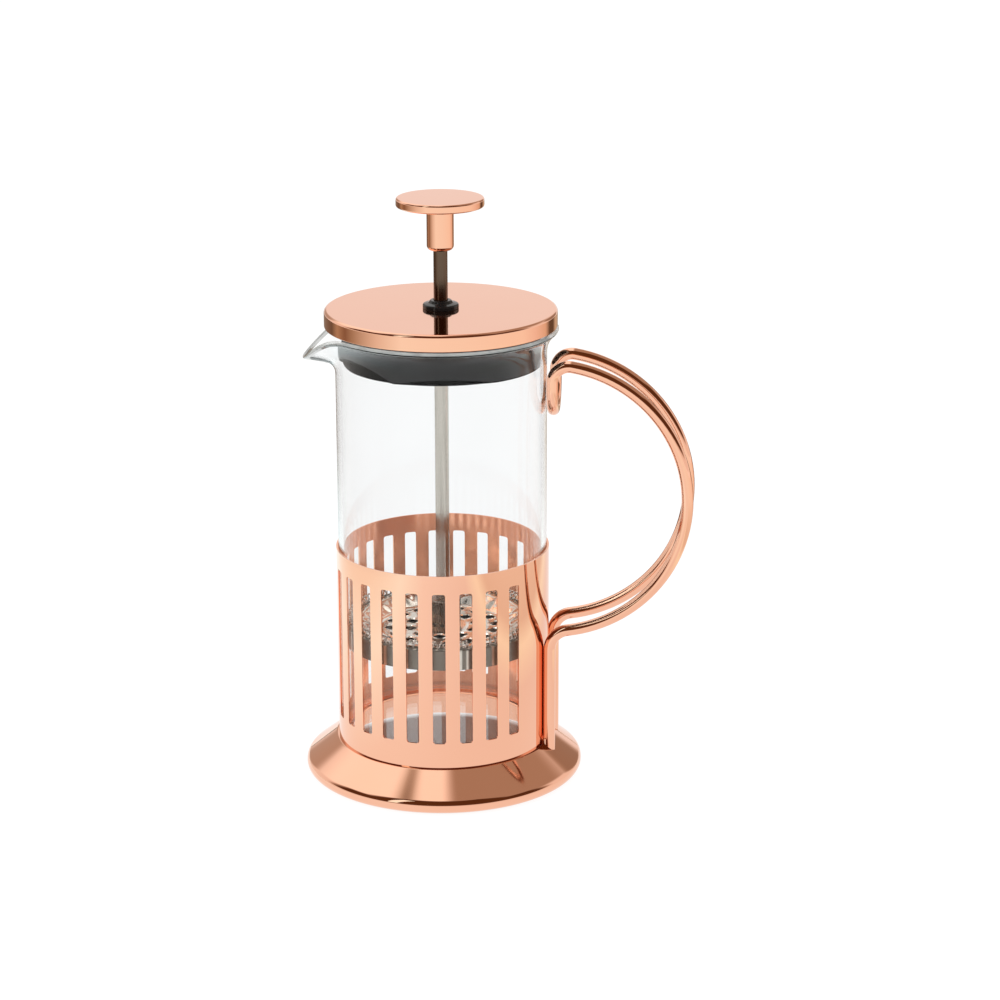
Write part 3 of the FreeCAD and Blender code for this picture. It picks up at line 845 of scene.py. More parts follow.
def coil_recipe() -> Recipe:
    """A spring of round wire bent into a closed ring.

    Returns:
        The recipe, with inputs Points, Turns, Ring, Coil, Height, Wire and Sides.
    """
    recipe = Recipe("ring_spring", {
        "Points": "Int", "Turns": "Int", "Ring": "Float", "Coil": "Float", "Height": "Float",
        "Wire": "Float", "Sides": "Int",
    })
    given = recipe.given
    index = recipe.add("GeometryNodeInputIndex").outputs[0]
    share = recipe.sum("DIVIDE", index, given["Points"])
    angle = recipe.sum("MULTIPLY", share, 2 * math.pi)
    wound = recipe.sum("MULTIPLY", angle, given["Turns"])
    out = recipe.sum("MULTIPLY", given["Coil"], recipe.sum("COSINE", wound))
    across = recipe.sum("ADD", given["Ring"], out)
    rise = recipe.sum("MULTIPLY", given["Coil"], recipe.sum("SINE", wound))
    place = recipe.add("ShaderNodeCombineXYZ", {
        "X": recipe.sum("MULTIPLY", across, recipe.sum("COSINE", angle)),
        "Y": recipe.sum("MULTIPLY", across, recipe.sum("SINE", angle)),
        "Z": recipe.sum("ADD", given["Height"], rise),
    }).outputs[0]
    line = recipe.add("GeometryNodeMeshLine", {"Count": given["Points"]}).outputs[0]
    bent = recipe.add("GeometryNodeSetPosition", {"Geometry": line, "Position": place}).outputs[0]
    curve = recipe.add("GeometryNodeMeshToCurve", {"Mesh": bent}).outputs[0]
    ring = recipe.add("GeometryNodeSetSplineCyclic", {"Geometry": curve, "Cyclic": True}).outputs[0]
    section = recipe.add("GeometryNodeCurvePrimitiveCircle", {
        "Resolution": given["Sides"], "Radius": given["Wire"],
    }).outputs[0]
    wire = recipe.add("GeometryNodeCurveToMesh", {"Curve": ring, "Profile Curve": section})
    return recipe.close(wire.outputs[0])


@dataclass
class Assembly:
    """What every sub-assembly shares: its finishes, its body and how a piece joins it."""

    finishes: Finishes
    body: ClassVar[Body]

    def dress(self, mesh: bpy.types.Mesh, materials: Sequence[bpy.types.Material], slot: Slot,
              *nodes: str) -> bpy.types.Object:
        """Makes a piece of a mesh: gives it its finish and its body, and hides what it stands for.

        Args:
            mesh: the finished mesh, whose name the piece takes.
            materials: its materials, in the order of its faces' material numbers.
            slot: the record's slot for its finish; not used.
            *nodes: the frame's nodes that it replaces.

        Returns:
            The piece.
        """
        numbers = np.zeros(len(mesh.polygons), dtype=np.int32)
        if len(materials) > 1:
            mesh.polygons.foreach_get("material_index", numbers)
        mesh.materials.clear()
        for material in materials:
            mesh.materials.append(material)
        mesh.polygons.foreach_set("material_index", numbers)
        piece = bpy.data.objects.new(mesh.name, mesh)
        bpy.context.scene.collection.objects.link(piece)
        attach(piece, self.body.value)
        if nodes:
            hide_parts(*nodes)
        triangles = sum(len(face.vertices) - 2 for face in mesh.polygons)
        log.info("%s: %d triangles, rides on %s", piece.name, triangles, self.body.value)
        return piece

    def keep(self, node: str, material: bpy.types.Material, slot: Slot) -> None:
        """Keeps a node of the frame and gives it a finish.

        Args:
            node: the node's name.
            material: its finish.
            slot: the record's slot for its finish; not used.
        """
        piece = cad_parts[node]
        for place in piece.material_slots:
            place.material = material
        if not piece.material_slots:
            piece.data.materials.append(material)
        log.info("%s: kept from the frame", node)


# --- the frame: sleeve, foot and handle ---------------------------------------------------------


@dataclass(frozen=True)
class Slots:
    """The sleeve's row of upright slots."""

    count: int = 20
    step: float = math.radians(14.4)
    first: float = math.radians(43.2)
    width: float = 4.35 * MM
    corner: float = 0.8 * MM
    low: float = 8.75 * MM
    high: float = 6.2 * MM


@dataclass
class Stand(Assembly):
    """The slotted sleeve on its flared foot, with the handle."""

    body: ClassVar[Body] = Body.FRAME
    slots: Slots = Slots()
    sheet: float = 0.6 * MM
    ledge: float = 31.5 * MM
    skirt_top: float = 36.9 * MM
    skirt_sheet: float = 0.8 * MM
    slope: float = math.radians(37.9)
    hem: float = 2.8 * MM
    rod: float = 2.0 * MM
    grip: float = 46.4 * MM
    lower_bend: float = 7.0 * MM
    upper_bend: float = 5.5 * MM
    hook_across: float = 37.7 * MM
    hook_height: float = 137.0 * MM
    turn_step: float = math.radians(1.5)

    def build(self) -> None:
        """Builds the three pieces."""
        copper = [self.finishes.copper]
        sleeve = [self.finishes.copper, self.finishes.inner_copper]
        self.dress(self.sleeve(), sleeve, Slot.COPPER, "frame_sleeve")
        self.dress(self.skirt(), copper, Slot.COPPER, "base_skirt")
        self.dress(self.handle(), copper, Slot.COPPER, "handle_rod")

    def rows(self) -> list[float]:
        """The heights at which the sleeve's wall has vertices."""
        wall = Extent.of("frame_sleeve")
        slots = self.slots
        low = wall.low.z + slots.low
        high = wall.high.z - slots.high
        return [wall.low.z, low, low + slots.corner, high - slots.corner, high, wall.high.z]

    def wall(self, name: str, angles: Sequence[float], skip: Callable[[int, int], bool]) -> bpy.types.Mesh:
        """A stretch of the sleeve's outer surface, with the ledge under it.

        Args:
            name: what the mesh is called.
            angles: where its columns stand.
            skip: whether the field in a given column and row is left out.

        Returns:
            An open mesh.
        """
        radius = Extent.of("frame_sleeve").radius
        rows = self.rows()
        rings = [(self.ledge, rows[0])] + [(radius, height) for height in rows]
        vertices = [(across * math.cos(angle), across * math.sin(angle), height)
                    for across, height in rings for angle in angles]
        width = len(angles)
        faces = []
        for row in range(len(rings) - 1):
            for column in range(width - 1):
                if not skip(column, row):
                    start = row * width + column
                    faces.append((start, start + 1, start + width + 1, start + width))
        return plain_mesh(name, vertices, faces)

    def corner_fans(self) -> bpy.types.Mesh:
        """The four fillets of metal in the corners of a slot.

        Returns:
            An open mesh.
        """
        radius = Extent.of("frame_sleeve").radius
        rows = self.rows()
        half = self.slots.width / 2 / radius
        reach = self.slots.corner / radius
        vertices: list[Point] = []
        faces = []
        for side in (-1, 1):
            for height, way in ((rows[1], 1), (rows[4], -1)):
                hub = len(vertices)
                spots = [(side * half, height)]
                for step in range(6):
                    angle = math.radians(90) * step / 5
                    spots.append((side * (half - reach * (1 - math.cos(angle))),
                                  height + way * self.slots.corner * (1 - math.sin(angle))))
                vertices += [(radius * math.cos(turn), radius * math.sin(turn), tall) for turn, tall in spots]
                for step in range(1, 6):
                    fan = (hub, hub + step, hub + step + 1)
                    faces.append(fan if side * way > 0 else fan[::-1])
        return plain_mesh("slot_corners", vertices, faces)

    def sleeve(self) -> bpy.types.Mesh:
        """The slotted sleeve: one cell repeated round it, and a plain stretch behind the handle."""
        slots = self.slots
        radius = Extent.of("frame_sleeve").radius
        half = slots.width / 2 / radius
        reach = slots.corner / radius
        edge = slots.step / 2
        bar = list(np.linspace(half, edge, 5))
        middle = list(np.linspace(-(half - reach), half - reach, 5))
        angles = [-angle for angle in reversed(bar)] + middle + bar
        slot_columns = range(4, len(angles) - 5)
        slot_rows = range(2, 5)
        cell = joined("sleeve_cell", [
            self.wall("cell_wall", angles, lambda column, row: column in slot_columns and row in slot_rows),
            self.corner_fans(),
        ])
        ring = ring_recipe().make("sleeve_ring", cell, {
            "Count": slots.count, "First": slots.first, "Step": slots.step, "Weld": WELD,
        })
        plain = np.linspace(-(slots.first - edge), slots.first - edge, 73)
        sector = self.wall("sleeve_plain", list(plain), lambda column, row: False)
        shell = joined("sleeve_shell", [ring, sector])

        def thicken(carrier: bpy.types.Object) -> None:
            """Gives the surface its sheet."""
            wall = carrier.modifiers.new("sheet", "SOLIDIFY")
            wall.thickness = self.sheet
            wall.offset = -1.0

        mesh = evaluated("sleeve", shell, thicken)
        bore = radius - self.sheet / 2
        # Faces inside the sleeve take the darker shaded copy of the plating with its painted glow.
        for face in mesh.polygons:
            spot = face.center
            inward = face.normal.x * spot.x + face.normal.y * spot.y < -0.3 * bore
            face.material_index = 1 if inward and math.hypot(spot.x, spot.y) < bore else 0
        crisp_normals(mesh)
        return mesh

    def slope_height(self, across: float) -> float:
        """The height of the foot's outside at a distance from the axis."""
        top = Extent.of("base_skirt").high.z
        return top - max(0.0, across - self.skirt_top) * math.tan(self.slope)

    def skirt(self) -> bpy.types.Mesh:
        """The flared foot with its rolled hem."""
        foot = Extent.of("base_skirt")
        rim = foot.radius
        top = foot.high.z
        inside = rim - 2 * self.hem
        under = top - self.skirt_sheet
        bend = self.skirt_top - self.skirt_sheet * math.tan(self.slope / 2)
        bead = self.hem - 0.2 * MM
        corners = [
            Corner(self.ledge, under),
            Corner(bend, under, 0.8 * MM),
            Corner(inside, under - (inside - bend) * math.tan(self.slope), 0.5 * MM),
            Corner(inside, foot.low.z, bead),
            Corner(rim, foot.low.z, bead),
            Corner(rim, self.slope_height(rim), self.hem),
            Corner(self.skirt_top, top, 1.2 * MM),
            Corner(self.ledge, top),
        ]
        return turned("foot_skirt", corners, closed=True, segments=224)

    def bend(self, centre: tuple[float, float], radius: float, start: float,
             end: float) -> list[tuple[float, float]]:
        """Points along an arc of the handle, seen from the side.

        Args:
            centre: its centre, as (across, height).
            radius: its radius.
            start: the angle where it starts.
            end: the angle where it ends.

        Returns:
            The points.
        """
        steps = max(10, math.ceil(abs(end - start) / self.turn_step / 2))
        return [(centre[0] + radius * math.cos(angle), centre[1] + radius * math.sin(angle))
                for angle in np.linspace(start, end, steps + 1)]

    def run(self) -> list[tuple[float, float]]:
        """One side of the handle from the foot to the hook, as (across, height)."""
        space = Extent.of("handle_rod")
        sleeve = Extent.of("frame_sleeve").radius
        half = space.radius - self.rod
        gap = 0.05 * MM
        leg = math.sqrt((sleeve + self.rod + gap) ** 2 - half**2)
        centre = (space.high.x - self.rod - self.grip, space.high.z - self.rod - self.upper_bend)
        hook = (self.hook_across + self.upper_bend, centre[1])
        inner = self.grip - self.upper_bend
        grip = (centre[0], hook[1] - math.sqrt(inner**2 - (hook[0] - centre[0]) ** 2))
        low_across = leg + self.lower_bend
        outer = self.grip + self.lower_bend
        low = (low_across, grip[1] - math.sqrt(outer**2 - (low_across - grip[0]) ** 2))
        low_angle = math.atan2(low[1] - grip[1], low[0] - grip[0])
        high_angle = math.atan2(hook[1] - grip[1], hook[0] - grip[0])
        foot = Extent.of("base_skirt").high.z - 2 * self.rod
        straight = [(leg, float(height)) for height in np.linspace(foot, low[1], 12)[:-1]]
        lower = self.bend(low, self.lower_bend, math.pi, low_angle + math.pi)
        loop = self.bend(grip, self.grip, low_angle, high_angle)
        upper = self.bend(hook, self.upper_bend, high_angle, math.pi)
        drop = [(self.hook_across, float(height)) for height in np.linspace(hook[1], self.hook_height, 4)[1:]]
        return straight + lower[:-1] + loop[:-1] + upper + drop

    def handle(self) -> bpy.types.Mesh:
        """The rod, bent into two runs side by side that join in the hook."""
        half = Extent.of("handle_rod").radius - self.rod
        run = self.run()
        tip = run[-1]
        near = [(across, -half, height) for across, height in run]
        turn = [(tip[0], -half * math.cos(angle), tip[1] - half * math.sin(angle))
                for angle in np.linspace(0.0, math.pi, 49)[1:-1]]
        far = [(across, half, height) for across, height in reversed(run)]
        line = near + turn + far
        edges = [(number, number + 1) for number in range(len(line) - 1)]
        path = plain_mesh("handle_line", line, [], edges)
        mesh = rod_recipe().make("handle", path, {"Radius": self.rod, "Sides": 36})
        mesh.shade_smooth()
        end = line[0][2] + 0.01 * MM
        for vertex in mesh.vertices:
            if vertex.co.z < end:
                across = math.hypot(vertex.co.x, vertex.co.y)
                vertex.co.z = self.slope_height(across) + 0.05 * MM
        return mesh


# --- the beaker ---------------------------------------------------------------------------------


@dataclass
class Beaker(Assembly):
    """The glass beaker, with a flared rim that is drawn out into a spout."""

    body: ClassVar[Body] = Body.BEAKER
    wall: float = 1.7 * MM
    floor: float = 2.3 * MM
    radius: float = 35.3 * MM
    heel: float = 4.0 * MM
    flare: float = 9.3 * MM
    flare_turn: float = math.radians(52)
    spout_start: float = 13.0 * MM
    spout_drop: float = 10.4 * MM
    spout_bend: float = 3.85 * MM
    spout_turn: float = math.radians(83)
    lip_spread: float = math.radians(21)
    foot_spread: float = math.radians(14)

    def build(self) -> None:
        """Builds the beaker."""
        materials = [self.finishes.glass, self.finishes.rim_painted_light]
        self.dress(self.glass(), materials, Slot.GLASS, "glass_beaker")

    def rim_line(self, count: int) -> np.ndarray:
        """The middle of the wall from where the spout starts up to the plain rim.

        Args:
            count: how many points it has.

        Returns:
            Rows of (across, height).
        """
        space = Extent.of("glass_beaker")
        middle = self.radius - self.wall / 2
        bend = self.flare + self.wall / 2
        crown = space.high.z - self.wall / 2
        start = crown - bend * math.sin(self.flare_turn)
        straight = self.spout_start
        length = straight + bend * self.flare_turn
        line = []
        for along in np.linspace(0.0, length, count):
            if along < straight:
                line.append((middle, start - straight + along))
            else:
                angle = (along - straight) / bend
                line.append((middle + bend * (1 - math.cos(angle)), start + bend * math.sin(angle)))
        return np.array(line)

    def spout_line(self, count: int) -> np.ndarray:
        """The middle of the wall along the bottom of the spout.

        Args:
            count: how many points it has.

        Returns:
            Rows of (across, height).
        """
        space = Extent.of("glass_beaker")
        foot = self.rim_line(2)[0]
        reach = -space.low.x - self.wall / 2
        bend = self.spout_bend
        turn = self.spout_turn
        run = (reach - foot[0] - bend * (1 - math.cos(turn))) / math.sin(turn)
        tip = self.rim_line(2)[-1][1] - self.spout_drop
        start = tip - bend * math.sin(turn) - run * math.cos(turn)
        straight = start - foot[1]
        length = straight + bend * turn + run
        line = []
        for along in np.linspace(0.0, length, count):
            if along < straight:
                line.append((foot[0], foot[1] + along))
            elif along < straight + bend * turn:
                angle = (along - straight) / bend
                line.append((foot[0] + bend * (1 - math.cos(angle)), start + bend * math.sin(angle)))
            else:
                rest = along - straight - bend * turn
                line.append((foot[0] + bend * (1 - math.cos(turn)) + rest * math.sin(turn),
                             start + bend * math.sin(turn) + rest * math.cos(turn)))
        return np.array(line)

    def section(self, aside: float, count: int = 34) -> np.ndarray:
        """The beaker's section at an angle from the spout, from the middle of its floor and back.

        Args:
            aside: the angle from the spout's middle.
            count: how many points the spout's stretch has.

        Returns:
            Rows of (across, height), outside first, the same number at every angle.
        """
        rise = np.linspace(0.0, 1.0, count)
        spread = self.foot_spread + (self.lip_spread - self.foot_spread) * rise
        share = np.exp(-((aside / spread) ** 2))[:, None]
        middle = self.rim_line(count) * (1 - share) + self.spout_line(count) * share
        along = np.gradient(middle, axis=0)
        along /= np.linalg.norm(along, axis=1, keepdims=True)
        out = np.stack((along[:, 1], -along[:, 0]), axis=1) * (self.wall / 2)
        bead = []
        for angle in np.linspace(0.0, math.pi, 9)[1:-1]:
            ahead = along[-1] * (self.wall / 2) * math.sin(angle)
            bead.append(middle[-1] + out[-1] * math.cos(angle) + ahead)
        space = Extent.of("glass_beaker")
        base = space.low.z
        inner = self.heel - self.wall
        bore = self.radius - self.wall
        outside, _ = outline([
            Corner(0.0, base), Corner(self.radius, base, self.heel), Corner(self.radius, middle[0][1]),
        ], closed=False)
        inside, _ = outline([
            Corner(0.0, base + self.floor), Corner(bore, base + self.floor, inner),
            Corner(bore, middle[0][1]),
        ], closed=False)
        tall_outside = np.linspace(outside[-2], outside[-1], 14)[1:-1]
        tall_inside = np.linspace(inside[-2], inside[-1], 14)[1:-1]
        wide_floor = np.linspace(outside[0], outside[1], 10)[1:-1]
        wide_inside = np.linspace(inside[0], inside[1], 10)[1:-1]
        up = np.vstack((outside[:1], wide_floor, outside[1:-1], tall_outside, middle + out, bead))
        down = np.vstack((inside[:1], wide_inside, inside[1:-1], tall_inside, middle - out))[::-1]
        return np.vstack((up, down))

    def glass(self) -> bpy.types.Mesh:
        """The blown glass: its section carried round the axis, with the spout in it."""
        offset = np.linspace(-1.0, 1.0, 241)[:-1]
        aside = math.pi * (0.25 * offset + 0.75 * offset**3)
        sections = np.array([self.section(float(angle)) for angle in aside])
        turn = aside + math.pi
        across = sections[..., 0]
        cosine, sine = np.cos(turn)[:, None], np.sin(turn)[:, None]
        points = np.stack((across * cosine, across * sine, sections[..., 1]), -1)
        points = points.transpose(1, 0, 2)
        around = np.concatenate((points[:, -2:], points, points[:, :2]), axis=1)
        places = np.concatenate((aside[-2:] - 2 * math.pi, aside, aside[:2] + 2 * math.pi))
        sideways = np.gradient(around, places, axis=1)[:, 2:-2]
        upward = np.gradient(points, axis=0)
        facing = np.cross(sideways, upward)
        facing[0] = (0.0, 0.0, -1.0)
        facing[-1] = (0.0, 0.0, 1.0)
        facing /= np.maximum(np.linalg.norm(facing, axis=-1, keepdims=True), 1e-12)
        mesh = skin("beaker", points, facing, loop=False)
        # The rows round the crest take the rim finish with its painted highlight and painted shade.
        crest = int(np.argmax(points[:, 0, 2]))
        for number, face in enumerate(mesh.polygons):
            face.material_index = int(crest - 4 <= number // len(aside) < crest + 4)
        return mesh


# --- the lid ------------------------------------------------------------------------------------


@dataclass(frozen=True)
class Arch:
    """A shallow arched recess in the collar's lower edge, measured from the spout."""

    start: float
    end: float
    height: float

    def over(self, aside: float) -> float:
        """The height of the arch at an angle from the spout, or 0 outside it."""
        share = (abs(aside) - self.start) / (self.end - self.start)
        return self.height * math.sin(math.pi * share) ** 0.8 if 0 < share < 1 else 0.0


@dataclass
class Lid(Assembly):
    """The plated cap with its plastic collar, guide bush and nut."""

    body: ClassVar[Body] = Body.LID
    sheet: float = 0.8 * MM
    edge: float = 1.1 * MM
    hole: float = 3.56 * MM
    wall: float = 2.1 * MM
    tube: float = 33.1 * MM
    flange_low: float = 5.75 * MM
    flange_depth: float = 1.4 * MM
    flange: float = 35.6 * MM
    plate: float = 1.6 * MM
    recess: float = 0.9 * MM
    arches: tuple[Arch, ...] = (
        Arch(math.radians(5), math.radians(68), 5.0 * MM),
        Arch(math.radians(68), math.radians(128), 2.2 * MM),
    )

    def build(self) -> None:
        """Builds the lid's pieces."""
        finishes = self.finishes
        self.dress(self.cap(), [finishes.copper], Slot.COPPER, "lid_cap")
        collar = [finishes.dark_plastic, finishes.painted_shade_plastic]
        self.dress(self.collar(), collar, Slot.DARK_PLASTIC, "lid_collar")
        self.dress(self.bush(), [finishes.black_plastic], Slot.BLACK_PLASTIC, "lid_bushing")
        self.keep("bushing_nut", finishes.nut, Slot.NUT)

    def cap(self) -> bpy.types.Mesh:
        """The flat cap with its short skirt."""
        space = Extent.of("lid_cap")
        inside = space.radius - self.sheet
        under = space.high.z - self.sheet
        return turned("lid_cap_plate", [
            Corner(inside, space.low.z, 0.3 * MM),
            Corner(space.radius, space.low.z, 0.3 * MM),
            Corner(space.radius, space.high.z, self.edge),
            Corner(self.hole, space.high.z),
            Corner(self.hole, under),
            Corner(inside, under, 0.4 * MM),
        ], closed=True, segments=256)

    def collar(self) -> bpy.types.Mesh:
        """The collar: a tube inside the beaker's mouth, with a flange on its rim and arched recesses, whose
        faces get a near-black painted shade.
        """
        space = Extent.of("lid_collar")
        low = space.low.z
        high = space.high.z
        flange = high - self.flange_low + self.sheet
        bore = self.tube - self.wall
        rest = self.flange
        segments = 288
        points = []
        for number in range(segments):
            turn = 2 * math.pi * number / segments
            aside = turn % (2 * math.pi) - math.pi
            rise = max(arch.over(aside) for arch in self.arches)
            cut = self.recess * min(1.0, rise / (1.2 * MM))
            edge = low + max(rise, 0.5 * MM)
            lower = [
                (bore, low + 0.35 * MM), (bore + 0.35 * MM, low), (self.tube - cut - 0.35 * MM, low),
                (self.tube - cut, low + 0.35 * MM), (self.tube - cut, edge - 0.05 * MM),
                (self.tube - 0.12 * MM, edge), (self.tube, edge + 0.15 * MM),
            ]
            upper = [
                (self.tube, flange - 2.2 * MM), (self.tube + 0.25 * MM, flange - 2.0 * MM),
                (self.tube + 0.25 * MM, flange - 0.1 * MM),
                (self.tube + 0.4 * MM, flange), (rest - 0.2 * MM, flange),
                (rest, flange + 0.2 * MM), (rest, flange + self.flange_depth - 0.2 * MM),
                (rest - 0.2 * MM, flange + self.flange_depth),
                (self.tube + 0.2 * MM, flange + self.flange_depth),
                (self.tube, flange + self.flange_depth + 0.2 * MM), (self.tube, high - 0.2 * MM),
                (self.tube - 0.2 * MM, high), (self.hole, high), (self.hole, high - self.plate),
                (bore - 0.8 * MM, high - self.plate), (bore, high - self.plate - 0.8 * MM),
            ]
            points.append([(across * math.cos(turn), across * math.sin(turn), height)
                           for across, height in lower + upper])
        grid = np.array(points).transpose(1, 0, 2)
        mesh = skin("lid_collar_moulding", grid, np.zeros_like(grid) + (0.0, 0.0, 1.0), loop=True)
        # The recess faces round the lower edge take the near-black finish: painted shade.
        painted_shade_rows = range(2, 5)
        for number, face in enumerate(mesh.polygons):
            if number // segments in painted_shade_rows:
                face.material_index = 1
        weighted_normals(mesh)
        return mesh

    def bush(self) -> bpy.types.Mesh:
        """The guide bush: a button on the cap, domed to the rod."""
        space = Extent.of("lid_bushing")
        seat = Extent.of("lid_cap").high.z
        bore = Extent.of("plunger_rod").radius + 0.06 * MM
        return turned("guide_bush", [
            Corner(bore, space.low.z, 0.2 * MM),
            Corner(self.hole - 0.06 * MM, space.low.z, 0.2 * MM),
            Corner(self.hole - 0.06 * MM, seat, 0.02 * MM),
            Corner(space.radius, seat, 0.15 * MM),
            Corner(space.radius, seat + 1.5 * MM, 0.6 * MM),
            Corner(bore + 1.7 * MM, seat + 1.9 * MM, 0.4 * MM),
            Corner(bore + 1.1 * MM, space.high.z, 0.4 * MM),
            Corner(bore, space.high.z, 0.2 * MM),
        ], closed=True, segments=128)


# --- the plunger --------------------------------------------------------------------------------


@dataclass
class Plunger(Assembly):
    """The knob and the rod."""

    body: ClassVar[Body] = Body.PLUNGER
    disc_edge: float = 0.7 * MM
    boss: float = 2.9 * MM
    neck_round: float = 1.6 * MM
    play: float = 0.03 * MM

    def build(self) -> None:
        """Builds the plunger's pieces."""
        finishes = self.finishes
        self.dress(self.disc(), [finishes.copper], Slot.COPPER, "knob_disc")
        self.dress(self.neck(), [finishes.copper], Slot.COPPER, "knob_neck")
        self.dress(self.rod(), [finishes.rod], Slot.ROD, "plunger_rod")

    def disc(self) -> bpy.types.Mesh:
        """The disc that the hand presses, with the boss under it."""
        space = Extent.of("knob_disc")
        under = Extent.of("knob_neck").high.z
        return turned("knob_plate", [
            Corner(0.0, space.low.z),
            Corner(self.boss, space.low.z, 0.3 * MM),
            Corner(self.boss, under, 0.1 * MM),
            Corner(space.radius, under, self.disc_edge),
            Corner(space.radius, space.high.z, self.disc_edge),
            Corner(0.0, space.high.z),
        ], closed=False)

    def neck(self) -> bpy.types.Mesh:
        """The neck between the rod and the disc."""
        space = Extent.of("knob_neck")
        bore = Extent.of("plunger_rod").radius + self.play
        step = Extent.of("plunger_rod").high.z + self.play
        return turned("knob_stem", [
            Corner(bore, space.low.z, 0.15 * MM),
            Corner(space.radius, space.low.z, self.neck_round),
            Corner(space.radius, space.high.z, 0.12 * MM),
            Corner(self.boss + self.play, space.high.z, 0.1 * MM),
            Corner(self.boss + self.play, step, 0.1 * MM),
            Corner(bore, step, 0.1 * MM),
        ], closed=True, segments=128)

    def rod(self) -> bpy.types.Mesh:
        """The plain rod, chamfered at both ends."""
        space = Extent.of("plunger_rod")
        break_edge = space.radius / 5
        return turned("rod", [
            Corner(0.0, space.low.z),
            Corner(space.radius - break_edge, space.low.z, 0.05 * MM),
            Corner(space.radius, space.low.z + break_edge, 0.1 * MM),
            Corner(space.radius, space.high.z - break_edge, 0.1 * MM),
            Corner(space.radius - break_edge, space.high.z, 0.05 * MM),
            Corner(0.0, space.high.z),
        ], closed=False, segments=96)


# --- the filter ---------------------------------------------------------------------------------


@dataclass(frozen=True)
class Vents:
    """A ring of round holes with raised lips in the spring plate."""

    count: int
    place: float
    inner: float
    outer: float
    radius: float = 2.0 * MM
    lip: float = 0.35 * MM


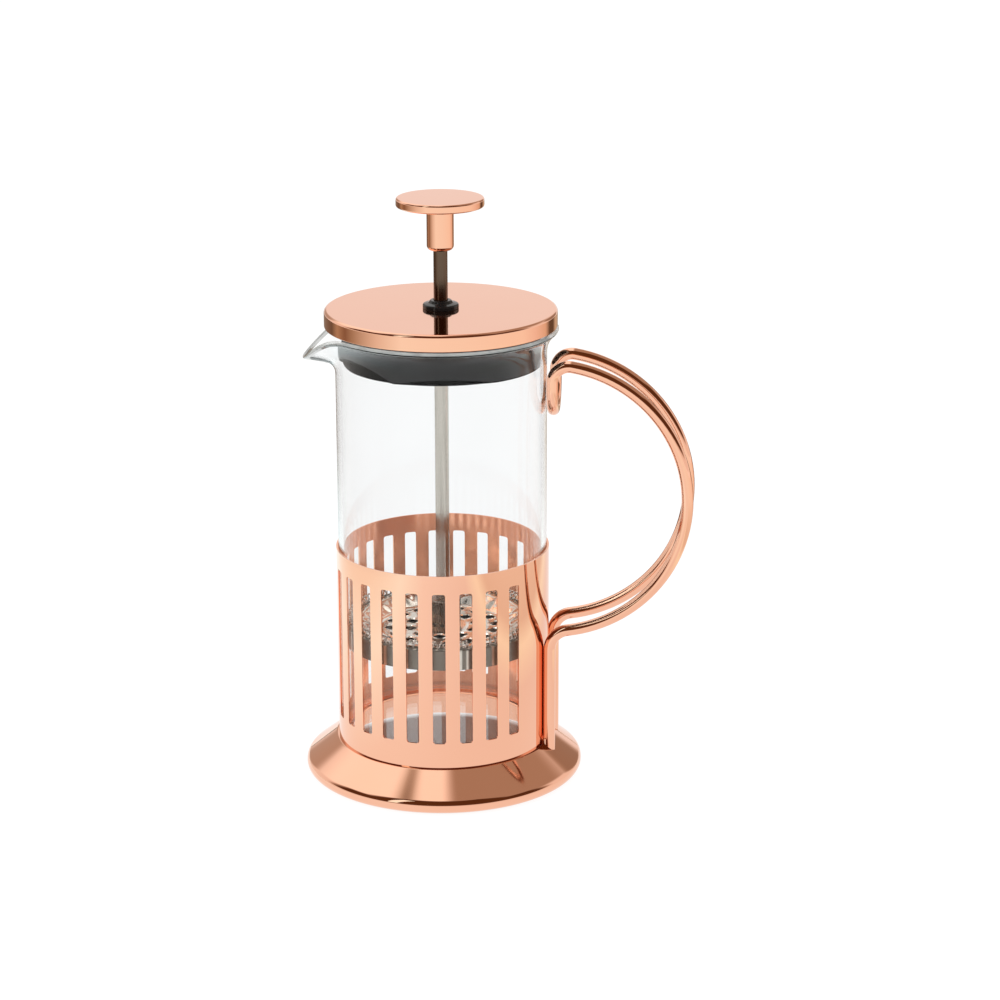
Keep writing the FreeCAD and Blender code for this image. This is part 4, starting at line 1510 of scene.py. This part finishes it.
@dataclass
class Filter(Assembly):
    """The hub with the stack of plates, screen and spring that it carries."""

    body: ClassVar[Body] = Body.FILTER
    sheet: float = 0.5 * MM
    flat: float = 22.5 * MM
    dish: float = 28.5 * MM
    around: int = 160
    rings: tuple[Vents, ...] = (
        Vents(10, 11.5 * MM, 8.7 * MM, 14.9 * MM),
        Vents(16, 18.0 * MM, 14.9 * MM, 21.1 * MM),
    )
    rise: float = 3.4 * MM
    hole: float = 3.05 * MM
    spigot: float = 3.0 * MM
    play: float = 0.03 * MM
    cloth: float = 0.4 * MM
    flute_count: int = 32
    flute: float = 0.35 * MM
    wire: float = 0.26 * MM
    turns: int = 96

    def build(self) -> None:
        """Builds the filter's pieces."""
        finishes = self.finishes
        self.dress(self.hub(), [finishes.hub], Slot.ROD, "hub_nut")
        self.dress(self.plate(), [finishes.sheet], Slot.SHEET, "spring_plate")
        self.dress(self.coil(), [finishes.wire], Slot.SHEET, "edge_coil")
        self.dress(self.screen(), [finishes.cloth], Slot.MESH, "mesh_screen")
        self.keep("cross_plate", finishes.sheet, Slot.SHEET)
        self.keep("bottom_nut", finishes.nut, Slot.NUT)

    def hub(self) -> bpy.types.Mesh:
        """The round hub with its spigot."""
        space = Extent.of("hub_nut")
        seat = Extent.of("spring_plate").high.z - self.rise
        rod = Extent.of("plunger_rod")
        bore = rod.radius + self.play
        return turned("filter_hub", [
            Corner(0.0, space.low.z),
            Corner(self.spigot, space.low.z, 0.3 * MM),
            Corner(self.spigot, seat, 0.02 * MM),
            Corner(space.radius, seat, 0.2 * MM),
            Corner(space.radius, space.high.z, 0.45 * MM),
            Corner(bore, space.high.z, 0.1 * MM),
            Corner(bore, rod.low.z - 0.2 * MM, 0.1 * MM),
            Corner(0.0, rod.low.z - 0.2 * MM),
        ], closed=False, segments=96)

    def cell(self, vents: Vents, top: float) -> bpy.types.Mesh:
        """The piece of the plate round one hole.

        Args:
            vents: the ring that the hole belongs to.
            top: the height of the plate's upper side.

        Returns:
            An open mesh.
        """
        half = math.pi / vents.count
        across = self.around // vents.count
        tall = 6
        border = [(vents.inner, angle) for angle in np.linspace(-half, half, across + 1)[:-1]]
        border += [(radius, half) for radius in np.linspace(vents.inner, vents.outer, tall + 1)[:-1]]
        border += [(vents.outer, angle) for angle in np.linspace(half, -half, across + 1)[:-1]]
        border += [(radius, -half) for radius in np.linspace(vents.outer, vents.inner, tall + 1)[:-1]]
        edge = [(radius * math.cos(angle), radius * math.sin(angle), top) for radius, angle in border]
        loops = [edge]
        for reach, rise in ((1.35, 0.0), (1.15, 0.4), (1.0, 1.0)):
            loop = []
            for x, y, _ in edge:
                away = math.atan2(y, x - vents.place)
                loop.append((vents.place + reach * vents.radius * math.cos(away),
                             reach * vents.radius * math.sin(away), top + rise * vents.lip))
            loops.append(loop)
        count = len(edge)
        faces = []
        for ring in range(len(loops) - 1):
            for number in range(count):
                beside = (number + 1) % count
                start = ring * count
                faces.append((start + number, start + beside, start + count + beside, start + count + number))
        return plain_mesh("vent_cell", [point for loop in loops for point in loop], faces)

    def annulus(self, steps: Sequence[tuple[float, float, float]]) -> bpy.types.Mesh:
        """Plain rings of the plate.

        Args:
            steps: for each circle its radius, its height and how strongly it is fluted.

        Returns:
            An open mesh.
        """
        vertices = []
        for radius, height, fluted in steps:
            for number in range(self.around):
                angle = 2 * math.pi * number / self.around + math.pi / self.rings[0].count
                rise = fluted * self.flute * (0.5 + 0.5 * math.cos(self.flute_count * angle))
                vertices.append((radius * math.cos(angle), radius * math.sin(angle), height + rise))
        faces = []
        for ring in range(len(steps) - 1):
            for number in range(self.around):
                beside = (number + 1) % self.around
                start = ring * self.around
                faces.append((start + number, start + self.around + number,
                              start + self.around + beside, start + beside))
        return plain_mesh("plate_ring", vertices, faces)

    def plate(self) -> bpy.types.Mesh:
        """The perforated spring plate: two rings of lipped holes and a fluted dish."""
        space = Extent.of("spring_plate")
        top = space.high.z - self.rise
        recipe = ring_recipe()
        parts = []
        for vents in self.rings:
            step = 2 * math.pi / vents.count
            parts.append(recipe.make("vents", self.cell(vents, top), {
                "Count": vents.count, "First": step / 2, "Step": step, "Weld": WELD,
            }))
        inner = [(self.hole, top, 0.0), (self.rings[0].inner, top, 0.0)]
        run = self.dish - self.flat
        outer = [(self.rings[-1].outer, top, 0.0), (self.flat, top, 0.0)]
        for share, fluted in ((0.15, 0.3), (0.35, 0.9), (0.5, 1.0), (0.65, 0.9), (0.85, 0.3), (1.0, 0.0)):
            outer.append((self.flat + share * run, top + share * self.rise, fluted))
        outer.append((space.radius, space.high.z, 0.0))
        shell = joined("plate_shell", [*parts, self.annulus(inner), self.annulus(outer)], 0.02 * MM)

        def thicken(carrier: bpy.types.Object) -> None:
            """Gives the surface its sheet."""
            wall = carrier.modifiers.new("sheet", "SOLIDIFY")
            wall.thickness = self.sheet
            wall.offset = -1.0
            edges = carrier.modifiers.new("edges", "BEVEL")
            edges.width = 0.08 * MM
            edges.segments = 2
            edges.limit_method = "ANGLE"
            edges.angle_limit = math.radians(50)

        mesh = evaluated("perforated_plate", shell, thicken)
        weighted_normals(mesh)
        return mesh

    def coil(self) -> bpy.types.Mesh:
        """The spring wound of fine wire that runs round the filter's edge."""
        space = Extent.of("edge_coil")
        section = (space.high.z - space.low.z) / 2
        empty = bpy.data.meshes.new("coil_seed")
        mesh = coil_recipe().make("edge_spring", empty, {
            "Points": self.turns * 14,
            "Turns": self.turns,
            "Ring": space.radius - section,
            "Coil": section - self.wire,
            "Height": (space.high.z + space.low.z) / 2,
            "Wire": self.wire,
            "Sides": 7,
        })
        mesh.shade_smooth()
        return mesh

    def screen(self) -> bpy.types.Mesh:
        """The woven screen, its rim turned down over the bottom plate."""
        space = Extent.of("mesh_screen")
        sheet = self.cloth
        top = space.high.z - self.rise
        return turned("woven_screen", [
            Corner(self.hole, top - sheet, 0.1 * MM),
            Corner(self.flat, top - sheet, 0.5 * MM),
            Corner(self.dish, space.high.z - sheet, 0.5 * MM),
            Corner(space.radius - sheet, space.high.z - sheet, 0.1 * MM),
            Corner(space.radius - sheet, space.low.z, 0.15 * MM),
            Corner(space.radius, space.low.z, 0.15 * MM),
            Corner(space.radius, space.high.z, 0.36 * MM),
            Corner(self.dish, space.high.z, 0.5 * MM),
            Corner(self.flat, top, 0.5 * MM),
            Corner(self.hole, top, 0.1 * MM),
        ], closed=True, segments=224)


# --- the studio ---------------------------------------------------------------------------------


@dataclass
class Studio:
    """Pale floor, soft light, a dome and a card that only reflections see, and the camera.

    The dome's dark areas and the card's tones were fitted to one
    viewpoint, so this is not an even studio and the plating looks browner from other sides.
    """

    distance: float = 1.0
    target: float = 0.095
    pitch: float = math.radians(17.0)
    swing: float = math.radians(6.0)
    aside: float = math.radians(1.199)
    roll: float = math.radians(0.1)
    lens: float = 106.5
    sensor: float = 36.0
    floor_half: float = 6.0
    dome_radius: float = 3.0
    painted_shadow_radius: float = 45.0 * MM
    near_tones: tuple[tuple[float, Colour], ...] = (
        (0.0, (1.04, 1.10, 1.05)),
        (0.18, (1.08, 1.28, 1.30)),
        (0.38, (1.02, 1.02, 1.02)),
        (0.62, (0.97, 0.94, 0.93)),
        (0.75, (0.95, 0.90, 0.88)),
        (0.84, (1.05, 1.12, 1.00)),
        (0.90, (0.86, 0.78, 0.69)),
        (1.0, (0.90, 0.84, 0.76)),
    )
    far_tones: tuple[tuple[float, Colour], ...] = (
        (-180.0, (0.35, 0.28, 0.22)),
        (-140.0, (0.20, 0.14, 0.10)),
        (-132.0, (0.17, 0.12, 0.08)),
        (-120.0, (0.45, 0.33, 0.22)),
        (-106.0, (0.26, 0.16, 0.10)),
        (-94.0, (0.42, 0.33, 0.24)),
        (-64.0, (0.84, 0.79, 0.72)),
        (-38.0, (1.04, 1.10, 1.06)),
        (20.0, (1.03, 1.06, 1.02)),
        (85.0, (1.03, 0.98, 0.90)),
        (104.0, (0.95, 0.80, 0.72)),
        (122.0, (0.80, 0.60, 0.45)),
        (131.0, (0.14, 0.09, 0.055)),
        (142.0, (0.13, 0.085, 0.05)),
        (150.0, (0.62, 0.47, 0.32)),
        (180.0, (0.35, 0.28, 0.22)),
    )

    def build(self) -> None:
        """Sets up the floor, the light and the camera."""
        scene = bpy.context.scene
        scene.view_settings.view_transform = "Standard"
        self.world()
        self.floor()
        self.dome()
        self.floor_card()
        self.lamp("key_light", (-1.1, -1.3, 1.9), 1.4, 14.0)
        self.lamp("fill_light", (1.3, 0.9, 2.0), 1.6, 9.0)
        self.camera()

    def world(self) -> None:
        """Even white light from all round."""
        world = bpy.data.worlds.new("white_room")
        world.use_nodes = True
        world.node_tree.nodes["Background"].inputs["Color"].default_value = (1.0, 1.0, 1.0, 1.0)
        world.node_tree.nodes["Background"].inputs["Strength"].default_value = 1.0
        bpy.context.scene.world = world

    def card(self, name: str, corners: Sequence[Point], material: bpy.types.Material) -> bpy.types.Object:
        """A flat sheet with the given corners, which isn't part of the press.

        Args:
            name: what it is called.
            corners: its corners, in order.
            material: its material.

        Returns:
            The sheet.
        """
        mesh = plain_mesh(name, list(corners), [tuple(range(len(corners)))])
        mesh.materials.append(material)
        sheet = bpy.data.objects.new(name, mesh)
        bpy.context.scene.collection.objects.link(sheet)
        sheet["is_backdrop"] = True
        return sheet

    def only_mirrored(self, piece: bpy.types.Object) -> None:
        """Leaves an object to be seen only in reflections."""
        piece.visible_camera = False
        piece.visible_diffuse = False
        piece.visible_shadow = False
        piece.visible_transmission = False

    def floor(self) -> None:
        """The pale floor, glowing bright enough to lose its shadows, with a dark painted shadow in a disc
        under the press.
        """
        shading = Shading("pale_floor")
        source = shading.add("ShaderNodeTexCoord").outputs["Object"]
        away = shading.add("ShaderNodeVectorMath", {0: source}, operation="LENGTH").outputs["Value"]
        share = shading.add("ShaderNodeMapRange", {
            "Value": away, "From Min": self.painted_shadow_radius - 4.0 * MM, "From Max": self.painted_shadow_radius,
        }).outputs[0]
        # Dark painted shadow inside the disc under the press, white glow outside it.
        light = shading.tones(share, ((0.0, (0.15, 0.095, 0.08)), (1.0, (1.0, 1.0, 1.0))))
        surface = shading.add("ShaderNodeBsdfPrincipled", {
            "Base Color": shading.blend(shading.noise(3.0), (0.13, 0.13, 0.13), (0.15, 0.15, 0.15)),
            "Roughness": 1.0,
            "Specular IOR Level": 0.0,
            "Emission Color": light,
            "Emission Strength": 0.9,
        })
        half = self.floor_half
        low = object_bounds()[0].z - 0.4 * MM
        corners = [(-half, -half, low), (half, -half, low), (half, half, low), (-half, half, low)]
        self.card("floor", corners, shading.close(surface))

    def dome(self) -> None:
        """A reflecting dome: pale round the horizon, dark over the front, with soft boxes."""
        shading = Shading("dome_light")
        source = shading.add("ShaderNodeTexCoord").outputs["Object"]
        heading = shading.add("ShaderNodeVectorMath", {0: source}, operation="NORMALIZE").outputs[0]
        parts = shading.add("ShaderNodeSeparateXYZ", {0: heading}).outputs

        step = shading.sum

        def fade(value: bpy.types.NodeSocket, start: float, end: float) -> bpy.types.NodeSocket:
            """Rises smoothly from 0 to 1 as a value goes from the start to the end."""
            low, high, first, last = (start, end, 0.0, 1.0) if start < end else (end, start, 1.0, 0.0)
            sockets = {"Value": value, "From Min": low, "From Max": high, "To Min": first, "To Max": last}
            spread = shading.add("ShaderNodeMapRange", sockets, interpolation_type="SMOOTHSTEP")
            return spread.outputs["Result"]

        def box(across: Point, up: Point, toward: Point, half: tuple[float, float],
                level: float) -> bpy.types.NodeSocket:
            """A soft box: a rectangle in a direction, with narrow soft edges."""
            axes = [Vector(side).normalized() for side in (toward, across, up)]
            dots = [shading.add("ShaderNodeVectorMath", {0: heading, 1: axis}, operation="DOT_PRODUCT")
                    for axis in axes]
            depth, aside, above = (dot.outputs["Value"] for dot in dots)
            masks = []
            for part, reach in ((aside, half[0]), (above, half[1])):
                slant = step("ABSOLUTE", step("DIVIDE", part, depth))
                masks.append(fade(slant, reach * 1.12, reach))
            front = step("GREATER_THAN", depth, 0.0)
            return step("MULTIPLY", step("MULTIPLY", step("MULTIPLY", *masks), front), level)

        def spot(toward: Point) -> bpy.types.NodeSocket:
            """A soft round patch in a direction."""
            facing = shading.add("ShaderNodeVectorMath", {0: heading, 1: Vector(toward).normalized()},
                                 operation="DOT_PRODUCT").outputs["Value"]
            return fade(facing, math.cos(math.radians(20)), math.cos(math.radians(10)))

        turn = step("ABSOLUTE", step("ARCTAN2", parts["X"], step("MULTIPLY", parts["Y"], -1.0)))
        wide = fade(turn, math.radians(84), math.radians(60))
        tall = step("MULTIPLY", fade(parts["Z"], 0.30, 0.46), fade(parts["Z"], 0.975, 0.94))
        broad = fade(turn, math.radians(108), math.radians(88))
        low = step("MULTIPLY", fade(parts["Z"], 0.08, 0.20), fade(parts["Z"], 0.74, 0.62))
        dark = step("MAXIMUM", step("MULTIPLY", wide, tall), step("MULTIPLY", broad, low))
        high = fade(parts["Z"], 0.35, 0.62)
        right = step("MULTIPLY", high, fade(parts["X"], -0.01, 0.13))
        behind = [step("MULTIPLY", spot(toward), level)
                  for toward, level in (((-0.50, 0.80, 0.27), 0.42), ((0.50, 0.80, 0.27), 0.62))]
        shade = step("MAXIMUM", step("MAXIMUM", dark, step("MULTIPLY", right, 0.5)), step("MAXIMUM", *behind))
        stops = ((0.0, (0.94, 0.875, 0.85)), (0.5, (0.43, 0.33, 0.26)), (1.0, (0.105, 0.042, 0.016)))
        around = shading.tones(shade, stops)
        left = step("MULTIPLY", high, fade(parts["X"], 0.10, -0.02))
        lift = step("MULTIPLY", step("MULTIPLY", left, step("SUBTRACT", 1.0, dark)), 0.30)
        key = box((0.8, -0.6, 0.0), (0.35, 0.47, 0.8), (-0.48, -0.64, 0.6), (0.07, 0.40), 1.4)
        boxes = step("ADD", lift, key)
        base = shading.add("ShaderNodeEmission", {"Color": around, "Strength": 1.0})
        lights = shading.add("ShaderNodeEmission", {"Color": (0.80, 1.0, 1.0, 1.0), "Strength": boxes})
        surface = shading.add("ShaderNodeAddShader", {0: base.outputs[0], 1: lights.outputs[0]})
        work = bmesh.new()
        bmesh.ops.create_uvsphere(work, u_segments=48, v_segments=24, radius=self.dome_radius)
        bmesh.ops.reverse_faces(work, faces=work.faces)
        mesh = bpy.data.meshes.new("reflecting_dome")
        work.to_mesh(mesh)
        work.free()
        mesh.materials.append(shading.close(surface))
        piece = bpy.data.objects.new("reflecting_dome", mesh)
        bpy.context.scene.collection.objects.link(piece)
        piece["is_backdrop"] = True
        self.only_mirrored(piece)

    def floor_card(self) -> None:
        """A sheet on the floor, seen only in the plating; its far tones start from the camera's side."""
        shading = Shading("floor_reflector")
        source = shading.add("ShaderNodeTexCoord").outputs["Object"]
        parts = shading.add("ShaderNodeSeparateXYZ", {0: source}).outputs
        across = shading.add("ShaderNodeMapRange", {"Value": parts["X"], "From Min": -0.25, "From Max": 0.25})
        near = shading.tones(across.outputs[0], self.near_tones)
        away = shading.add("ShaderNodeVectorMath", {0: source}, operation="LENGTH").outputs["Value"]
        cosine, sine = math.cos(self.swing), math.sin(self.swing)
        side, front = (
            shading.add("ShaderNodeVectorMath", {0: source, 1: axis}, operation="DOT_PRODUCT")
            for axis in ((cosine, sine, 0.0), (sine, -cosine, 0.0))
        )
        turn = shading.sum("ARCTAN2", side.outputs["Value"], front.outputs["Value"])
        round_share = shading.add("ShaderNodeMapRange", {
            "Value": turn, "From Min": -math.pi, "From Max": math.pi,
        }).outputs[0]
        stops = [((angle + 180.0) / 360.0, colour) for angle, colour in self.far_tones]
        far = shading.tones(round_share, stops)
        reach = shading.add("ShaderNodeMapRange", {"Value": away, "From Min": 0.26, "From Max": 0.42})
        colour = shading.add("ShaderNodeMix", {"Factor": reach.outputs[0], 6: near, 7: far},
                             data_type="RGBA").outputs[2]
        surface = shading.add("ShaderNodeEmission", {"Color": colour, "Strength": 1.0})
        half = 1.3
        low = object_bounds()[0].z - 0.15 * MM
        corners = [(-half, -half, low), (half, -half, low), (half, half, low), (-half, half, low)]
        sheet = self.card("floor_reflector", corners, shading.close(surface))
        self.only_mirrored(sheet)

    def lamp(self, name: str, place: Point, size: float, power: float) -> None:
        """A square soft light aimed at the press.

        Args:
            name: what it is called.
            place: where it stands.
            size: the length of its side.
            power: its strength in watts.
        """
        light = bpy.data.lights.new(name, "AREA")
        light.size = size
        light.energy = power
        lamp = bpy.data.objects.new(name, light)
        lamp.location = place
        aim = Vector((0.0, 0.0, self.target)) - Vector(place)
        lamp.rotation_euler = aim.to_track_quat("-Z", "Y").to_euler()
        lamp.visible_glossy = False
        lamp.visible_camera = False
        bpy.context.scene.collection.objects.link(lamp)

    def camera(self) -> None:
        """The camera, looking slightly down on the press with the handle on the right."""
        data = bpy.data.cameras.new("camera")
        data.lens = self.lens
        data.sensor_width = self.sensor
        data.clip_start = 0.05
        data.clip_end = 50.0
        camera = bpy.data.objects.new("camera", data)
        flat = self.distance * math.cos(self.pitch)
        camera.location = (flat * math.sin(self.swing), -flat * math.cos(self.swing),
                           self.target + self.distance * math.sin(self.pitch))
        tilt = math.pi / 2 - self.pitch
        camera.rotation_euler = Euler((tilt, self.roll, self.swing - self.aside), "XYZ")
        bpy.context.scene.collection.objects.link(camera)
        bpy.context.scene.camera = camera


def main() -> None:
    """Builds the studio and each sub-assembly."""
    logging.basicConfig(level=logging.INFO, format="%(name)s: %(message)s")
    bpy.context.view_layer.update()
    Studio().build()
    finishes = Finishes()
    for assembly in (Stand, Beaker, Lid, Plunger, Filter):
        log.info("building %s", assembly.__name__)
        assembly(finishes).build()
    bpy.context.view_layer.update()


if __name__ == "__main__":
    main()
